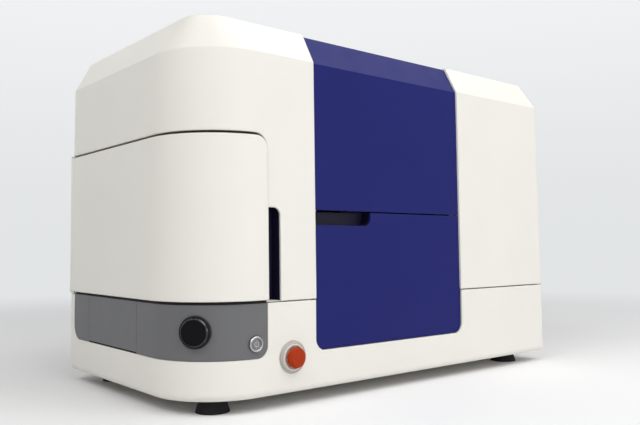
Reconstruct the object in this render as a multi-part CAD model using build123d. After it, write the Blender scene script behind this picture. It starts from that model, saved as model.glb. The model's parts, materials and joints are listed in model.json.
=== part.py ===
from build123d import *
from math import atan, cos, degrees, radians, sin, tan
import os

# Bench-top droplet flow cytometer. Millimetres, +Z up, front faces -Y.
# The origin is on the bench, under the middle of the instrument's overall box.

# Housing
housing_width = 928
housing_depth = 492
foot_height = 22
base_height = 153
cover_height = 411
chamfer_height = 56
corner_radius = 124       # the big front-left corner
roof_corner_radius = 51   # the same corner, at the top of the chamfer
edge_radius = 14          # the other upright corners
roof_edge_radius = 10     # the same corners, at the top of the chamfer
least_radius = 1.4
base_round = 12           # round along the bottom of the base
wall = 4
draft_angle = 0.6         # the covers lean in above the seam
roof_setback_front = 31
roof_setback_left = 28
roof_setback_right = 22
roof_setback_rear = 14
seam_gap = 2
panel_gap = 1             # beside the blue panels
panel_recess = 3.5        # blue panels stand behind the white covers
fit_gap = 0.5             # between neighbouring hard parts that do not touch
door_proud = 4
guard_depth = 12

# Stop button
stop_reach = 16.5         # cap front to housing face

# Left door and the opening that it closes
door_front_width = 142
door_bottom_gap = 4
door_height = 267.5
door_top_gap = 5
door_side_gap = 1.5
door_corner_radius = 22
door_skin = 5
door_rim_depth = 14
door_rim_wall = 3
door_rear_inset = 13      # hinge axis to the rear face
hinge_bead_radius = 3.5
door_pin_radius = 1.5
pin_clearance = 0.06
bracket_thickness = 2.5
bracket_tab = 16
pivot_length = 20
door_magnet_size = 12

# Finger recess beside the left door
handle_recess_width = 27
handle_recess_height = 155
handle_recess_depth = 22
handle_recess_radius = 13
cup_wall = 2

# Blue centre
centre_left_offset = 244   # left side to the blue panels
centre_width = 386
lower_panel_bottom = 88
panel_split = 326
lower_panel_radius = 20
lift_panel_gap = 2.5
finger_recess_width = 134
finger_recess_height = 24
finger_recess_radius = 14
finger_recess_depth = 22
return_depth = 12
return_wall = 3
seat_flange = 18           # bulkhead flange that the blue panels and cover lips rest on
seat_thickness = 2

# Long hinge of the lift door
lift_hinge_from_front = 65
lift_knuckle_radius = 3.5
lift_pin_radius = 1.5
lift_knuckle_count = 5
lift_leaf_thickness = 2
lift_leaf_width = 20
knuckle_gap = 0.4

# Grey trim band and its drawer
trim_bottom = 86
trim_rear_margin = 29      # end of the band to the rear face
trim_front_radius = 20
trim_rear_radius = 28
trim_gap = 0.6
trim_ledge = 5
trim_ledge_thickness = 2.5
drawer_front_start = 182   # front face to the drawer front
drawer_front_width = 206
drawer_front_gap = 0.8
drawer_front_rise = 3
tray_length = 200
tray_width = 178
tray_floor = 4
tray_bottom = 100
tray_rim_height = 12
tray_rim = 5
runner_width = 5
runner_height = 12
runner_length = 205
rail_wall = 2.5
rail_clearance = 0.5
rail_length = 200
plate_length = 127.76
plate_width = 85.48
plate_height = 14.35
plate_rim = 1.5
plate_skirt = 3.6
plate_well_depth = 9.6
plate_clearance = 0.6

# Knob on the rounded corner
knob_angle = 42            # from the left side towards the front
knob_height = 132
bezel_radius = 26
bezel_depth = 3
bezel_lip = 2.4
bezel_floor = 2
knob_face_radius = 20
knob_bevel = 3
knob_depth = 8
knob_clearance = 0.4
knob_face_thickness = 3
shaft_radius = 3
encoder_size = 28
encoder_depth = 16

# Power button
power_x_from_left = 118.5
power_height = 110
power_ring_radius = 13
power_ring_proud = 3
power_barrel_radius = 11
power_barrel_length = 30
power_cap_radius = 9.25
power_cap_clearance = 0.3
power_travel = 2
power_nut_radius = 13.4    # to the nut's corners
power_washer = 2
nut_depth = 4
barrel_clearance = 0.2

# Stop button
stop_x_from_left = 192
stop_height = 82
stop_collar_radius = 26.5
stop_collar_bore = 19
stop_collar_depth = 6
stop_cap_radius = 17
stop_cap_thickness = 9.5
stop_edge = 2.5            # bevel round the cap's face
stop_barrel_radius = 11
stop_barrel_length = 32
stop_stem_radius = 5
stop_stem_clearance = 0.3
stop_flange_depth = 2
stop_travel = 4
stop_nut_radius = 15
stop_block_width = 30
stop_block_depth = 40

# Feet
foot_top_radius = 21
foot_floor_radius = 28.5
foot_inset_side = 76
foot_inset_front = 62

# Chassis
chassis_plate_thickness = 8
chassis_plate_inset = 18
base_rib_height = 8
base_rib_thickness = 3
base_rib_pitch = 116
base_rib_end = 40
plate_window_length = 150
plate_window_width = 90
bulkhead_thickness = 4
post_size = 24
post_top = 560

# Left bay: pumps on the bulkhead, bottles on the floor
liner_thickness = 2
liner_rim_gap = 2
left_bay_depth = 431       # front face to the bay's rear wall
pump_from_front = 171
pump_spacing = 130
pump_reach = 55
pump_width = 56
pump_height = 190
pump_above_seam = 35
pump_slot_width = 10
pump_slot_depth = 10
pump_slot_length = 105
pump_slot_rise = 15
barrel_from_pump = 18
barrel_radius = 9
barrel_bore = 7
barrel_length = 70
valve_width = 28
valve_height = 24
valve_drop = 20            # top of the pump to the underside of its valve
plunger_fit = 0.1
plunger_head = 10
plunger_stroke_start = 28   # barrel mouth to the piston, drawn out
plunger_rod_radius = 2.5
plunger_reach = 42         # barrel mouth to the carriage
carriage_height = 12
carriage_width = 8
carriage_reach = 36
carriage_end = 10
rack_from_left = 62
rack_from_front = 100
rack_width = 80
rack_height = 60
rack_wall = 4
rack_end = 12
bottle_radius = 30
bottle_clearance = 1
bottle_pitch = 85
bottle_count = 2
bottle_body = 90
bottle_shoulder = 18
bottle_neck = 10
bottle_neck_radius = 14
bottle_cap_radius = 18
bottle_cap_height = 19

# Centre bay: optics on a deck
deck_below_split = 40
deck_thickness = 10
deck_depth = 359
optics_from_front = 151    # front face to the optical axis
stage_width = 160
stage_depth = 120
stage_foot = 12
stage_height = 34
chip_width = 108
chip_depth = 82
chip_thickness = 8
chip_seat = 4
chip_border = 14
chip_recess = 2
stage_frame = 10
bridge_width = 220
bridge_depth = 50
bridge_leg = 20
bridge_height = 150
bridge_beam = 20
lens_nose_radius = 8
lens_nose = 16
lens_barrel_radius = 15
lens_collar_radius = 19
lens_collar = 36
lens_bottom = 62
lens_clearance = 1
laser_width = 70
laser_depth = 120
laser_height = 60
laser_behind_axis = 111
laser_beside_axis = 15
laser_snout_radius = 12
laser_snout = 16
fin_thickness = 2
fin_pitch = 6
fin_depth = 8
detector_size = 32
detector_height = 70
detector_pitch = 45
detector_beside_axis = 25
detector_behind_axis = 171
detector_base = 4
detector_base_height = 14

# Right bay: electrical units
supply_width = 175
supply_depth = 160
supply_height = 90
supply_wall = 1.5
supply_from_right = 60
supply_from_rear = 71
supply_slot_width = 4
supply_slot_pitch = 10
supply_slot_margin = 20
board_thickness = 2
board_length = 280
board_height = 250
board_above_seam = 55
board_from_front = 91
board_standoff = 10
standoff_width = 8
heat_sink_length = 60
heat_sink_height = 40
heat_sink_base = 3
heat_sink_reach = 13
processor_size = 50
processor_thickness = 4
connector_length = 30
connector_height = 12
connector_count = 4

# Rear
panel_thickness = 2.5
window_margin = 24
window_bottom = 60
window_top = 574
panel_overlap = 6
fan_size = 119
fan_depth = 25
fan_bore = 56
fan_hub = 20
fan_hub_plate = 3
fan_strut_width = 5
fan_blades = 7
fan_blade_thickness = 2
fan_blade_pitch = 40
fan_tip_gap = 3
fan_height = 440
fan_spacing = 150
guard_lap = 2
guard_frame = 8
guard_slats = 9
guard_slat_width = 9
guard_slat_tilt = 35
vent_slots = 12
vent_pitch = 12
vent_width = 5
vent_height = 100
vent_bottom = 300
vent_from_right = 200
inlet_width = 28
inlet_height = 48
inlet_lip = 4
inlet_flange = 3
inlet_depth = 30
inlet_x_from_right = 90
inlet_z = 130
socket_width = 24
socket_height = 17
socket_drop = 20
socket_depth = 16
pin_pitch = 7
pin_width = 2
pin_height = 5
rocker_length = 18
rocker_width = 13
rocker_rise = 11
rocker_sunk = 4
rocker_cavity = 12
rocker_proud = 4
ports_width = 60
ports_height = 24
ports_from_inlet = 120
ports_depth = 20
port_depth = 14
port_height = 14
network_port_width = 16
network_port_place = 24
data_port_width = 6
data_port_pitch = 15

# Worked out from the sizes above
left_x = (door_proud - housing_width) / 2
right_x = left_x + housing_width
front_y = (stop_reach - (guard_depth - wall) - housing_depth) / 2
rear_y = front_y + housing_depth
base_bottom = foot_height
seam_z = base_bottom + base_height
shoulder_z = seam_z + cover_height
roof_z = shoulder_z + chamfer_height
base_top = seam_z - seam_gap / 2
cover_bottom = seam_z + seam_gap / 2
lean = tan(radians(draft_angle)) * cover_height
corner_x = left_x + corner_radius
corner_y = front_y + corner_radius
door_right_x = left_x + door_front_width
door_bottom_z = seam_z + door_bottom_gap
door_top_z = door_bottom_z + door_height
door_axis_x = left_x + fit_gap
door_axis_y = rear_y - door_rear_inset
centre_left_x = left_x + centre_left_offset
centre_right_x = centre_left_x + centre_width
lift_axis_y = front_y + lift_hinge_from_front
lift_axis_z = roof_z - panel_recess
lift_start_x = centre_left_x + 2 * panel_gap
lift_length = centre_width - 4 * panel_gap
chassis_bottom = base_bottom + wall + base_rib_height
chassis_top = chassis_bottom + chassis_plate_thickness
drawer_front_y = front_y + drawer_front_start
drawer_rear_y = drawer_front_y + drawer_front_width
drawer_middle_y = (drawer_front_y + drawer_rear_y) / 2
bulkhead_left_x = centre_left_x - return_wall - fit_gap
bulkhead_right_x = centre_right_x + return_wall + fit_gap
seat_inset = wall + return_depth
deck_height = panel_split - deck_below_split
deck_top = deck_height + deck_thickness
optics_x = (centre_left_x + centre_right_x) / 2
optics_y = front_y + optics_from_front
bay_floor_z = seam_z + liner_thickness
left_bay_rear = front_y + left_bay_depth
pump_face_x = bulkhead_left_x - bulkhead_thickness
pump_bottom = seam_z + pump_above_seam
barrel_x = pump_face_x - pump_reach - barrel_from_pump
valve_bottom = pump_bottom + pump_height - valve_drop
barrel_bottom = valve_bottom - barrel_length
pump_places = (front_y + pump_from_front, front_y + pump_from_front + pump_spacing)
rack_x = left_x + rack_from_left + rack_width / 2
rack_front = front_y + rack_from_front
rack_length = bottle_count * bottle_pitch + rack_end
bottle_places = [rack_front + rack_end / 2 + (n + 0.5) * bottle_pitch for n in range(bottle_count)]
bottle_bottom = bay_floor_z + rack_wall
bottle_top = bottle_bottom + bottle_body + bottle_shoulder + bottle_neck
rear_inner_y = rear_y - wall
panel_inner_y = rear_inner_y - panel_thickness
inlet_x = right_x - inlet_x_from_right
ports_x = inlet_x - ports_from_inlet
rocker_z = inlet_z + rocker_rise
knob_direction = (-cos(radians(knob_angle)), -sin(radians(knob_angle)), 0)
power_x = left_x + power_x_from_left
stop_x = left_x + stop_x_from_left
far = 2 * housing_width   # longer than anything that a cutter has to cross
low = Align.MIN
mid = Align.CENTER

parts = {}


def block(x_span, y_span, z_span):
    """A box from three (low, high) spans."""
    spans = (x_span, y_span, z_span)
    centre = [(high + base) / 2 for base, high in spans]
    size = [high - base for base, high in spans]
    return Pos(*centre) * Box(*size)


def centred(x, y, width, depth, z_span):
    """A box centred on an upright line."""
    return block((x - width / 2, x + width / 2), (y - depth / 2, y + depth / 2), z_span)


def bar(start, direction, radius, length):
    """A round bar that starts at a point and runs along a direction."""
    plane = Plane(origin=start, z_dir=direction)
    return plane * Cylinder(radius, length, align=(mid, mid, low))


def ring(start, direction, radius, bore, length):
    return bar(start, direction, radius, length) - bar(start, direction, bore, length)


def outline(z, setbacks, corner, edge):
    """The housing seen from above at one height, with its big front-left corner."""
    front, left, right, rear = setbacks
    x_low, x_high = left_x + left, right_x - right
    y_low, y_high = front_y + front, rear_y - rear
    place = Pos((x_low + x_high) / 2, (y_low + y_high) / 2, z)
    sheet = place * Rectangle(x_high - x_low, y_high - y_low)
    big = sheet.vertices().sort_by(Axis.X)[:2].sort_by(Axis.Y)[0]
    sheet = fillet([big], corner)
    rest = [v for v in sheet.vertices() if v.X > x_low + corner + wall or v.Y > y_low + corner + wall]
    return fillet(rest, edge)


def upright_walls(inset, corner, edge, top):
    """The covers from the seam up: three walls that lean in, with round corners between the walls."""
    sides = ((left_x + inset, 0, -1, 0), (right_x - inset, 0, 1, 0), (0, front_y + inset, 0, -1))
    slab = block((left_x + inset, right_x - inset), (front_y + inset, rear_y - inset), (seam_z, top))
    for x, y, out_x, out_y in sides:
        wall_plane = Plane(origin=(x, y, seam_z), z_dir=(out_x * cover_height, out_y * cover_height, lean))
        slab = split(slab, wall_plane, keep=Keep.BOTTOM)
    corners = slab.edges().filter_by(lambda edge_line: abs(edge_line.tangent_at(0.5).Z) > 0.5)
    big = corners.sort_by(Axis.X)[:2].sort_by(Axis.Y)[0]
    place = big.center()
    slab = fillet([big], corner)
    corners = slab.edges().filter_by(lambda edge_line: abs(edge_line.tangent_at(0.5).Z) > 0.5)
    rest = [line for line in corners if (line.center() - place).length > 2 * corner]
    return fillet(rest, edge)


def envelope(inset):
    """The whole housing as a solid, moved inwards by inset on every face."""
    if inset in envelope.made:
        return envelope.made[inset]
    corner = corner_radius - inset
    edge = max(edge_radius - inset, least_radius)
    slope = atan(roof_setback_front / chamfer_height)
    along_roof = inset * (1 / cos(slope) - tan(slope))
    below_shoulder = inset * (1 / cos(slope) - 1) / tan(slope)
    bottom = base_bottom + max(inset, 0)
    base = extrude(outline(bottom, (inset,) * 4, corner, edge), seam_z - bottom)
    walls = upright_walls(inset, corner, edge, shoulder_z - below_shoulder)
    setbacks = (roof_setback_front + lean, roof_setback_left + lean,
                roof_setback_right + lean, roof_setback_rear)
    top = outline(roof_z - inset, tuple(setback + along_roof for setback in setbacks),
                  roof_corner_radius - along_roof, max(roof_edge_radius - along_roof, least_radius))
    roof = loft([walls.faces().sort_by(Axis.Z)[-1], top.faces()[0]], ruled=True)
    envelope.made[inset] = base + walls + roof
    return envelope.made[inset]


envelope.made = {}


def shell(outer, inner):
    return envelope(outer) - envelope(inner)


def front_window(x_span, z_span, round_left=0, round_right=0, top=0):
    """A prism through the front, its lower corners (or its upper right one) rounded."""
    (x_low, x_high), (z_low, z_high) = x_span, z_span
    plane = Plane(origin=((x_low + x_high) / 2, -far / 2, (z_low + z_high) / 2), x_dir=(1, 0, 0),
                  z_dir=(0, -1, 0))
    sheet = Rectangle(x_high - x_low, z_high - z_low)
    corners = sheet.vertices().group_by(Axis.Y)
    lower = corners[0].sort_by(Axis.X)
    upper = corners[-1].sort_by(Axis.X)
    for vertex, radius in ((lower[0], round_left), (lower[1], round_right), (upper[1], top)):
        if radius:
            near = sheet.vertices().sort_by_distance(vertex)[0]
            sheet = fillet([near], radius)
    return extrude(plane * sheet, -far)


def side_window(y_span, z_span, round_rear=0):
    """A prism through the left side, its lower rear corner rounded."""
    (y_low, y_high), (z_low, z_high) = y_span, z_span
    plane = Plane(origin=(-far / 2, (y_low + y_high) / 2, (z_low + z_high) / 2), x_dir=(0, -1, 0),
                  z_dir=(-1, 0, 0))
    sheet = Rectangle(y_high - y_low, z_high - z_low)
    if round_rear:
        corner = sheet.vertices().group_by(Axis.Y)[0].sort_by(Axis.X)[0]
        sheet = fillet([corner], round_rear)
    return extrude(plane * sheet, -far)


def trim_region(gap):
    """Space of the grey band: round the corner from the left side to the front."""
    top = seam_z + far
    across = front_window((-far, door_right_x - gap), (trim_bottom + gap, top),
                          round_right=trim_front_radius - gap)
    along = side_window((-far, rear_y - trim_rear_margin - gap), (trim_bottom + gap, top),
                        round_rear=trim_rear_radius - gap)
    return across & along


def door_region(gap, right=0):
    """Space of the left door, grown by gap towards the covers."""
    width = door_right_x + right
    top = door_top_z + gap
    bottom = door_bottom_z if gap == 0 else cover_bottom - wall
    face = front_window((-far, width), (bottom, top), top=door_corner_radius + right)
    rear = door_axis_y if gap == 0 else door_axis_y + hinge_bead_radius + seam_gap
    return face & block((-far, width), (-far, rear), (bottom, top))


# ---------------------------------------------------------------- housing

def base_housing():
    outer = extrude(outline(base_bottom, (0, 0, 0, 0), corner_radius, edge_radius), base_top - base_bottom)
    outer = fillet(outer.edges().group_by(Axis.Z)[0], base_round)
    inner = extrude(outline(base_bottom + wall, (wall, wall, wall, wall), corner_radius - wall,
                            edge_radius - wall), base_height)
    tub = outer - inner + floor_ribs()
    tub -= trim_region(0)
    tub -= front_window((centre_left_x - panel_gap, centre_right_x + panel_gap),
                        (lower_panel_bottom - panel_gap, seam_z + wall), round_left=lower_panel_radius,
                        round_right=lower_panel_radius) & block((-far, far), (-far, corner_y), (0, far))
    tub += trim_seat()
    tub -= rear_window()
    hole = stop_barrel_radius + barrel_clearance
    return tub - bar((stop_x, front_y - wall, stop_height), (0, 1, 0), hole, 3 * wall)


def floor_ribs():
    """Ribs from front to rear on the base's floor, which carry the chassis plate."""
    ribs = None
    y_span = (front_y + base_rib_end, rear_y - base_rib_end)
    middle = (left_x + right_x) / 2
    room = housing_width / 2 - corner_radius
    for step in range(-int(room / base_rib_pitch), int(room / base_rib_pitch) + 1):
        x = middle + step * base_rib_pitch
        rib = block((x - base_rib_thickness / 2, x + base_rib_thickness / 2), y_span,
                    (base_bottom + wall, chassis_bottom))
        ribs = rib if ribs is None else ribs + rib
    return ribs


def trim_seat():
    """Ledge behind the edges of the grey band, which also stops the drawer front."""
    ring_space = trim_region(-trim_ledge) - trim_region(trim_ledge)
    below_seam = block((-far, far), (-far, far), (-far, base_top))
    return shell(wall, wall + trim_ledge_thickness) & ring_space & below_seam


def foot_places():
    return [(x, y)
            for x in (left_x + foot_inset_side, right_x - foot_inset_side)
            for y in (front_y + foot_inset_front, rear_y - foot_inset_front)]


def foot():
    profile = Polyline((0, 0), (foot_floor_radius, 0), (foot_top_radius, foot_height), (0, foot_height),
                       close=True)
    return revolve(Plane.XZ * make_face(profile), Axis.Z)


def feet():
    return [Pos(x, y, 0) * foot() for x, y in foot_places()]


def rear_window():
    return block((left_x + window_margin, right_x - window_margin), (rear_y - edge_radius, rear_y + wall),
                 (window_bottom, window_top))


def cover_return(x_low, x_high):
    """Lip that turns inwards where a cover ends beside the blue panels."""
    rim = shell(wall, wall + return_depth)
    return rim & block((x_low, x_high), (-far, rear_y - edge_radius - wall), (cover_bottom, far))


def left_cover():
    skin = shell(0, wall) & block((-far, centre_left_x), (-far, far), (cover_bottom, far))
    skin += cover_return(centre_left_x - return_wall, centre_left_x)
    skin -= door_region(door_top_gap, door_side_gap)
    recess_top = seam_z + handle_recess_height
    recess_right = door_right_x + handle_recess_width
    skin -= front_window((door_right_x, recess_right), (0, recess_top), top=handle_recess_radius) & block(
        (-far, far), (-far, corner_y), (0, far))
    return skin - rear_window()


def right_cover():
    skin = shell(0, wall) & block((centre_right_x, far), (-far, far), (cover_bottom, far))
    skin += cover_return(centre_right_x, centre_right_x + return_wall)
    return skin - rear_window()


def centre_top_cover():
    """Roof of the blue centre behind the lift door, with a lip down each side."""
    start = lift_axis_y + lift_knuckle_radius + fit_gap
    bottom = window_top + panel_overlap + seam_gap
    x_low, x_high = centre_left_x + panel_gap, centre_right_x - panel_gap
    reach = block((x_low, x_high), (start, far), (bottom, far))
    skin = shell(panel_recess, panel_recess + wall) & reach
    lips = shell(panel_recess + wall, seat_inset) & reach
    between = block((x_low + return_wall, x_high - return_wall), (-far, far), (-far, far))
    return skin + (lips - between)


def handle_recess_cup():
    right = door_right_x + handle_recess_width + cup_wall
    top = seam_z + handle_recess_height + cup_wall
    rear = front_y + wall + handle_recess_depth
    outer = block((door_right_x + fit_gap, right), (-far, rear + cup_wall), (bay_floor_z, top))
    inner = block((-far, right - cup_wall), (-far, rear), (-far, top - cup_wall))
    return (outer - inner) & envelope(wall)


# ---------------------------------------------------------------- blue centre

def blue_skin(outer=panel_recess, inner=panel_recess + wall):
    return shell(outer, inner) & block((centre_left_x + panel_gap, centre_right_x - panel_gap),
                                       (-far, corner_y), (-far, far))


def finger_notch(grow=0):
    right = centre_left_x + finger_recess_width + grow
    bottom = panel_split - finger_recess_height - grow
    return front_window((-far, right), (bottom, far), round_right=finger_recess_radius + grow)


def lower_front_panel():
    x_low, x_high = centre_left_x + panel_gap, centre_right_x - panel_gap
    corner = lower_panel_radius - panel_gap
    window = front_window((x_low, x_high), (lower_panel_bottom, panel_split), round_left=corner,
                          round_right=corner)
    skin = (blue_skin() & window) - finger_notch()
    lips_top = panel_split - finger_recess_height - 2 * wall
    lips = blue_skin(panel_recess + wall, seat_inset) & block((-far, far), (-far, far),
                                                              (lower_panel_bottom + corner, lips_top))
    between = block((x_low + return_wall, x_high - return_wall), (-far, far), (-far, far))
    return skin + (lips - between)


def finger_recess_cup():
    """Dark tray behind the notch, open towards the front and at the top."""
    face = panel_recess + wall
    rear = front_y + face + finger_recess_depth
    x_low = centre_left_x + panel_gap
    box = block((x_low, far), (-far, rear), (-far, panel_split))
    outer = finger_notch(cup_wall) & box & envelope(face)
    hollow = finger_notch() & block((x_low + cup_wall, far), (-far, rear - cup_wall), (-far, far))
    return outer - hollow


def lift_door():
    rear = lift_axis_y - lift_knuckle_radius - fit_gap
    reach = block((-far, far), (-far, rear), (panel_split + lift_panel_gap, far))
    skin = blue_skin() & reach
    rim = blue_skin(panel_recess + wall, seat_inset) & reach
    inside = block((centre_left_x + panel_gap + return_wall, centre_right_x - panel_gap - return_wall),
                   (-far, rear - return_wall), (panel_split + lift_panel_gap + return_wall, far))
    return skin + (rim - inside)


def lift_segments(first):
    """Every other knuckle of the long hinge, starting at the given one."""
    span = lift_length / lift_knuckle_count
    return [(lift_start_x + n * span + knuckle_gap / 2, span - knuckle_gap)
            for n in range(first, lift_knuckle_count, 2)]


def lift_leaf(first, side, bore):
    near = lift_axis_y + side * (lift_knuckle_radius + fit_gap)
    edge = lift_axis_y + side * (lift_knuckle_radius + lift_leaf_width)
    height = (lift_axis_z, lift_axis_z + lift_leaf_thickness)
    leaf = block((lift_start_x, lift_start_x + lift_length), sorted((near, edge)), height)
    for x, width in lift_segments(first):
        leaf += bar((x, lift_axis_y, lift_axis_z), (1, 0, 0), lift_knuckle_radius, width)
        leaf += block((x, x + width), sorted((lift_axis_y, near)), height)
    return leaf - bar((-far, lift_axis_y, lift_axis_z), (1, 0, 0), bore, 2 * far)


def lift_hinge_fixed_leaf():
    return lift_leaf(0, 1, lift_pin_radius)


def lift_hinge_door_leaf():
    return lift_leaf(1, -1, lift_pin_radius + pin_clearance)


# ---------------------------------------------------------------- left door

def left_door():
    """Bent skin with a rim along its top, front edge and bottom, and a bead at its hinge."""
    inner = door_skin - door_proud
    skin = shell(-door_proud, inner) & door_region(0)
    inside = block((-far, door_right_x - door_rim_wall), (-far, far),
                   (door_bottom_z + door_rim_wall, door_top_z - door_rim_wall))
    reach = block((-far, far), (-far, door_axis_y - door_rim_depth), (-far, far))
    rim = (shell(inner, door_rim_depth) & door_region(0) & reach) - inside
    bead = bar((door_axis_x, door_axis_y, door_bottom_z), (0, 0, 1), hinge_bead_radius, door_height)
    body = skin + rim + bead
    return body - bar((door_axis_x, door_axis_y, 0), (0, 0, 1), door_pin_radius + pin_clearance, far)


def hinge_plate(z):
    """Bracket from the side of the rear post to the door's pivot."""
    post_face = left_x + window_margin
    depth = (door_axis_y - 3 * hinge_bead_radius, door_axis_y)
    arm = block((door_axis_x, post_face), depth, (z, z + bracket_thickness))
    arm += block((post_face - bracket_thickness, post_face), depth, (z, z + bracket_tab))
    eye = bar((door_axis_x, door_axis_y, z), (0, 0, 1), hinge_bead_radius, bracket_thickness)
    hole = bar((door_axis_x, door_axis_y, z - wall), (0, 0, 1), door_pin_radius, 3 * wall)
    return arm + eye - hole


def bracket_levels():
    play = (door_top_gap - bracket_thickness) / 2
    return door_bottom_z - fit_gap - bracket_thickness, door_top_z + play


def door_hinge_brackets():
    return [hinge_plate(z) for z in bracket_levels()]


def hinge_pins():
    """Two short pivots of the left door and the long pin of the lift door."""
    low_z, high_z = bracket_levels()
    lower = bar((door_axis_x, door_axis_y, low_z), (0, 0, 1), door_pin_radius, pivot_length)
    upper = bar((door_axis_x, door_axis_y, high_z + bracket_thickness), (0, 0, -1), door_pin_radius,
                pivot_length)
    long_pin = bar((lift_start_x, lift_axis_y, lift_axis_z), (1, 0, 0), lift_pin_radius, lift_length)
    return [lower, upper, long_pin]


def door_magnets():
    """Catches on the back of the pillar, behind the left door's front edge."""
    x_high = door_right_x + door_side_gap
    rows = []
    for z in (door_top_z - 3 * door_magnet_size, door_top_z - 6 * door_magnet_size):
        y_low = front_y + door_rim_depth + lean + fit_gap
        magnet = block((door_right_x - door_magnet_size, x_high), (y_low, y_low + door_magnet_size / 2),
                       (z, z + door_magnet_size))
        bracket = block((x_high, x_high + door_magnet_size), (-far, y_low + door_magnet_size / 2),
                        (z, z + door_magnet_size))
        rows.append(magnet + (bracket & envelope(wall)))
    return rows


# ---------------------------------------------------------------- grey band, drawer

def trim_band():
    low_z = block((-far, far), (-far, far), (-far, base_top))
    return shell(0, wall) & trim_region(trim_gap) & low_z


def drawer_opening(gap):
    return block((-far, corner_x), (drawer_front_y + gap, drawer_rear_y - gap), (-far, far))


def trim_front_panel():
    band = trim_band() & block((-far, far), (-far, drawer_front_y), (-far, far))
    place = Plane(origin=(corner_x, corner_y, knob_height), z_dir=knob_direction)
    band -= place * Cylinder(bezel_radius - bezel_lip + barrel_clearance, 3 * corner_radius)
    hole = power_barrel_radius + barrel_clearance
    return band - bar((power_x, front_y - wall, power_height), (0, 1, 0), hole, 3 * wall)


def trim_rear_panel():
    return trim_band() & block((-far, far), (drawer_rear_y, far), (-far, far))


def drawer_front():
    rise = block((-far, far), (-far, far), (trim_bottom + drawer_front_rise, far))
    return trim_band() & drawer_opening(drawer_front_gap) & rise


def tray_span():
    return (drawer_middle_y - tray_width / 2, drawer_middle_y + tray_width / 2)


def drawer_tray():
    """Tray with a nest round the microplate, and a runner along each side."""
    x_low = left_x + wall
    middle = x_low + tray_length / 2
    top = tray_bottom + tray_rim_height
    floor_z = tray_bottom + tray_floor
    tray = centred(middle, drawer_middle_y, tray_length, tray_width, (tray_bottom, top))
    tray -= centred(middle, drawer_middle_y, tray_length - 2 * tray_rim, tray_width - 2 * tray_rim,
                    (floor_z, far))
    nest = centred(middle, drawer_middle_y, plate_width + 2 * tray_rim, plate_length + 2 * tray_rim,
                   (floor_z, top - tray_floor))
    nest -= centred(middle, drawer_middle_y, plate_width + 2 * plate_clearance,
                    plate_length + 2 * plate_clearance, (0, far))
    for side in (-1, 1):
        runner_y = drawer_middle_y + side * (tray_width + runner_width) / 2
        tray += centred(x_low + runner_length / 2, runner_y, runner_length, runner_width,
                        (tray_bottom, tray_bottom + runner_height))
    return tray + nest


def drawer_rail(side):
    """Channel round one runner, on a foot that stands on the chassis plate."""
    y_low, y_high = tray_span()
    face = y_high if side > 0 else y_low
    inner = face + side * fit_gap
    outer = face + side * (runner_width + rail_clearance + rail_wall)
    x_low = left_x + 3 * wall
    span = (x_low, x_low + rail_length)
    z_low = tray_bottom - rail_clearance - rail_wall
    z_high = tray_bottom + runner_height + rail_clearance + rail_wall
    channel = block(span, sorted((inner, outer)), (z_low, z_high))
    slot_outer = face + side * (runner_width + rail_clearance)
    channel -= block((-far, far), sorted((face - side, slot_outer)),
                     (tray_bottom - rail_clearance, tray_bottom + runner_height + rail_clearance))
    leg_x = (x_low + 3 * wall, x_low + rail_length)
    leg = block(leg_x, sorted((outer - side * rail_wall, outer)), (chassis_top, z_low))
    flange = block(leg_x, sorted((outer, outer - side * 4 * wall)), (chassis_top, chassis_top + rail_wall))
    return channel + leg + flange


def drawer_rails():
    return [drawer_rail(-1), drawer_rail(1)]


def microplate():
    """A plate with the standard footprint; its wells are one shallow field."""
    x = left_x + wall + tray_length / 2
    z = tray_bottom + tray_floor
    step = 4 * plate_rim
    skirt = centred(x, drawer_middle_y, plate_width, plate_length, (z, z + plate_skirt))
    upper = centred(x, drawer_middle_y, plate_width - step, plate_length - step, (z, z + plate_height))
    field = centred(x, drawer_middle_y, plate_width - 2 * step, plate_length - 2 * step,
                    (z + plate_height - plate_well_depth, far))
    return skirt + upper - field


# ---------------------------------------------------------------- controls

def knob_plane(depth):
    """Plane on the rounded corner, facing outwards, depth beyond the panel."""
    reach = corner_radius + depth
    origin = (corner_x + reach * knob_direction[0], corner_y + reach * knob_direction[1], knob_height)
    return Plane(origin=origin, z_dir=knob_direction)


def turned(plane, profile):
    """A turned piece from (radius, depth) points, about the plane's normal."""
    face = make_face(Polyline(*profile, close=True))
    return plane * revolve(Plane.XZ * face, Axis.Z)


def locknut(place, corner_radius_of_nut, bore, depth):
    """A six-sided nut on a button's barrel, whose far face lies at depth behind the panel's face."""
    hexagon = RegularPolygon(corner_radius_of_nut, 6, rotation=30) - Circle(bore)
    return place * extrude(Pos(0, 0, -depth) * hexagon, nut_depth)


def knob_bezel():
    """Flange on the rounded corner and the cup behind it, in which the knob turns."""
    bore = knob_face_radius + knob_bevel + knob_clearance
    neck_radius = bezel_radius - bezel_lip
    back = wall + bezel_depth
    seat = turned(knob_plane(0), [(bore, -wall), (bezel_radius, -wall), (bezel_radius, bezel_depth),
                                  (bore, bezel_depth)])
    seat -= envelope(0)
    hole = shaft_radius + knob_clearance
    neck = turned(knob_plane(0), [(hole, -back - bezel_floor), (neck_radius, -back - bezel_floor),
                                  (neck_radius, 0), (bore, 0), (bore, -back), (hole, -back)])
    return seat + neck


def control_knob():
    edge = knob_face_radius + knob_bevel
    back = -wall - bezel_depth + fit_gap
    pocket = knob_depth - knob_face_thickness
    return turned(knob_plane(0), [(shaft_radius, back), (edge, back), (edge, knob_depth - knob_bevel),
                                  (knob_face_radius, knob_depth), (0, knob_depth),
                                  (0, pocket), (shaft_radius, pocket)])


def knob_shaft():
    front = knob_depth - knob_face_thickness
    length = front + wall + bezel_depth + encoder_depth
    return knob_plane(front - length) * Cylinder(shaft_radius, length, align=(mid, mid, low))


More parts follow.
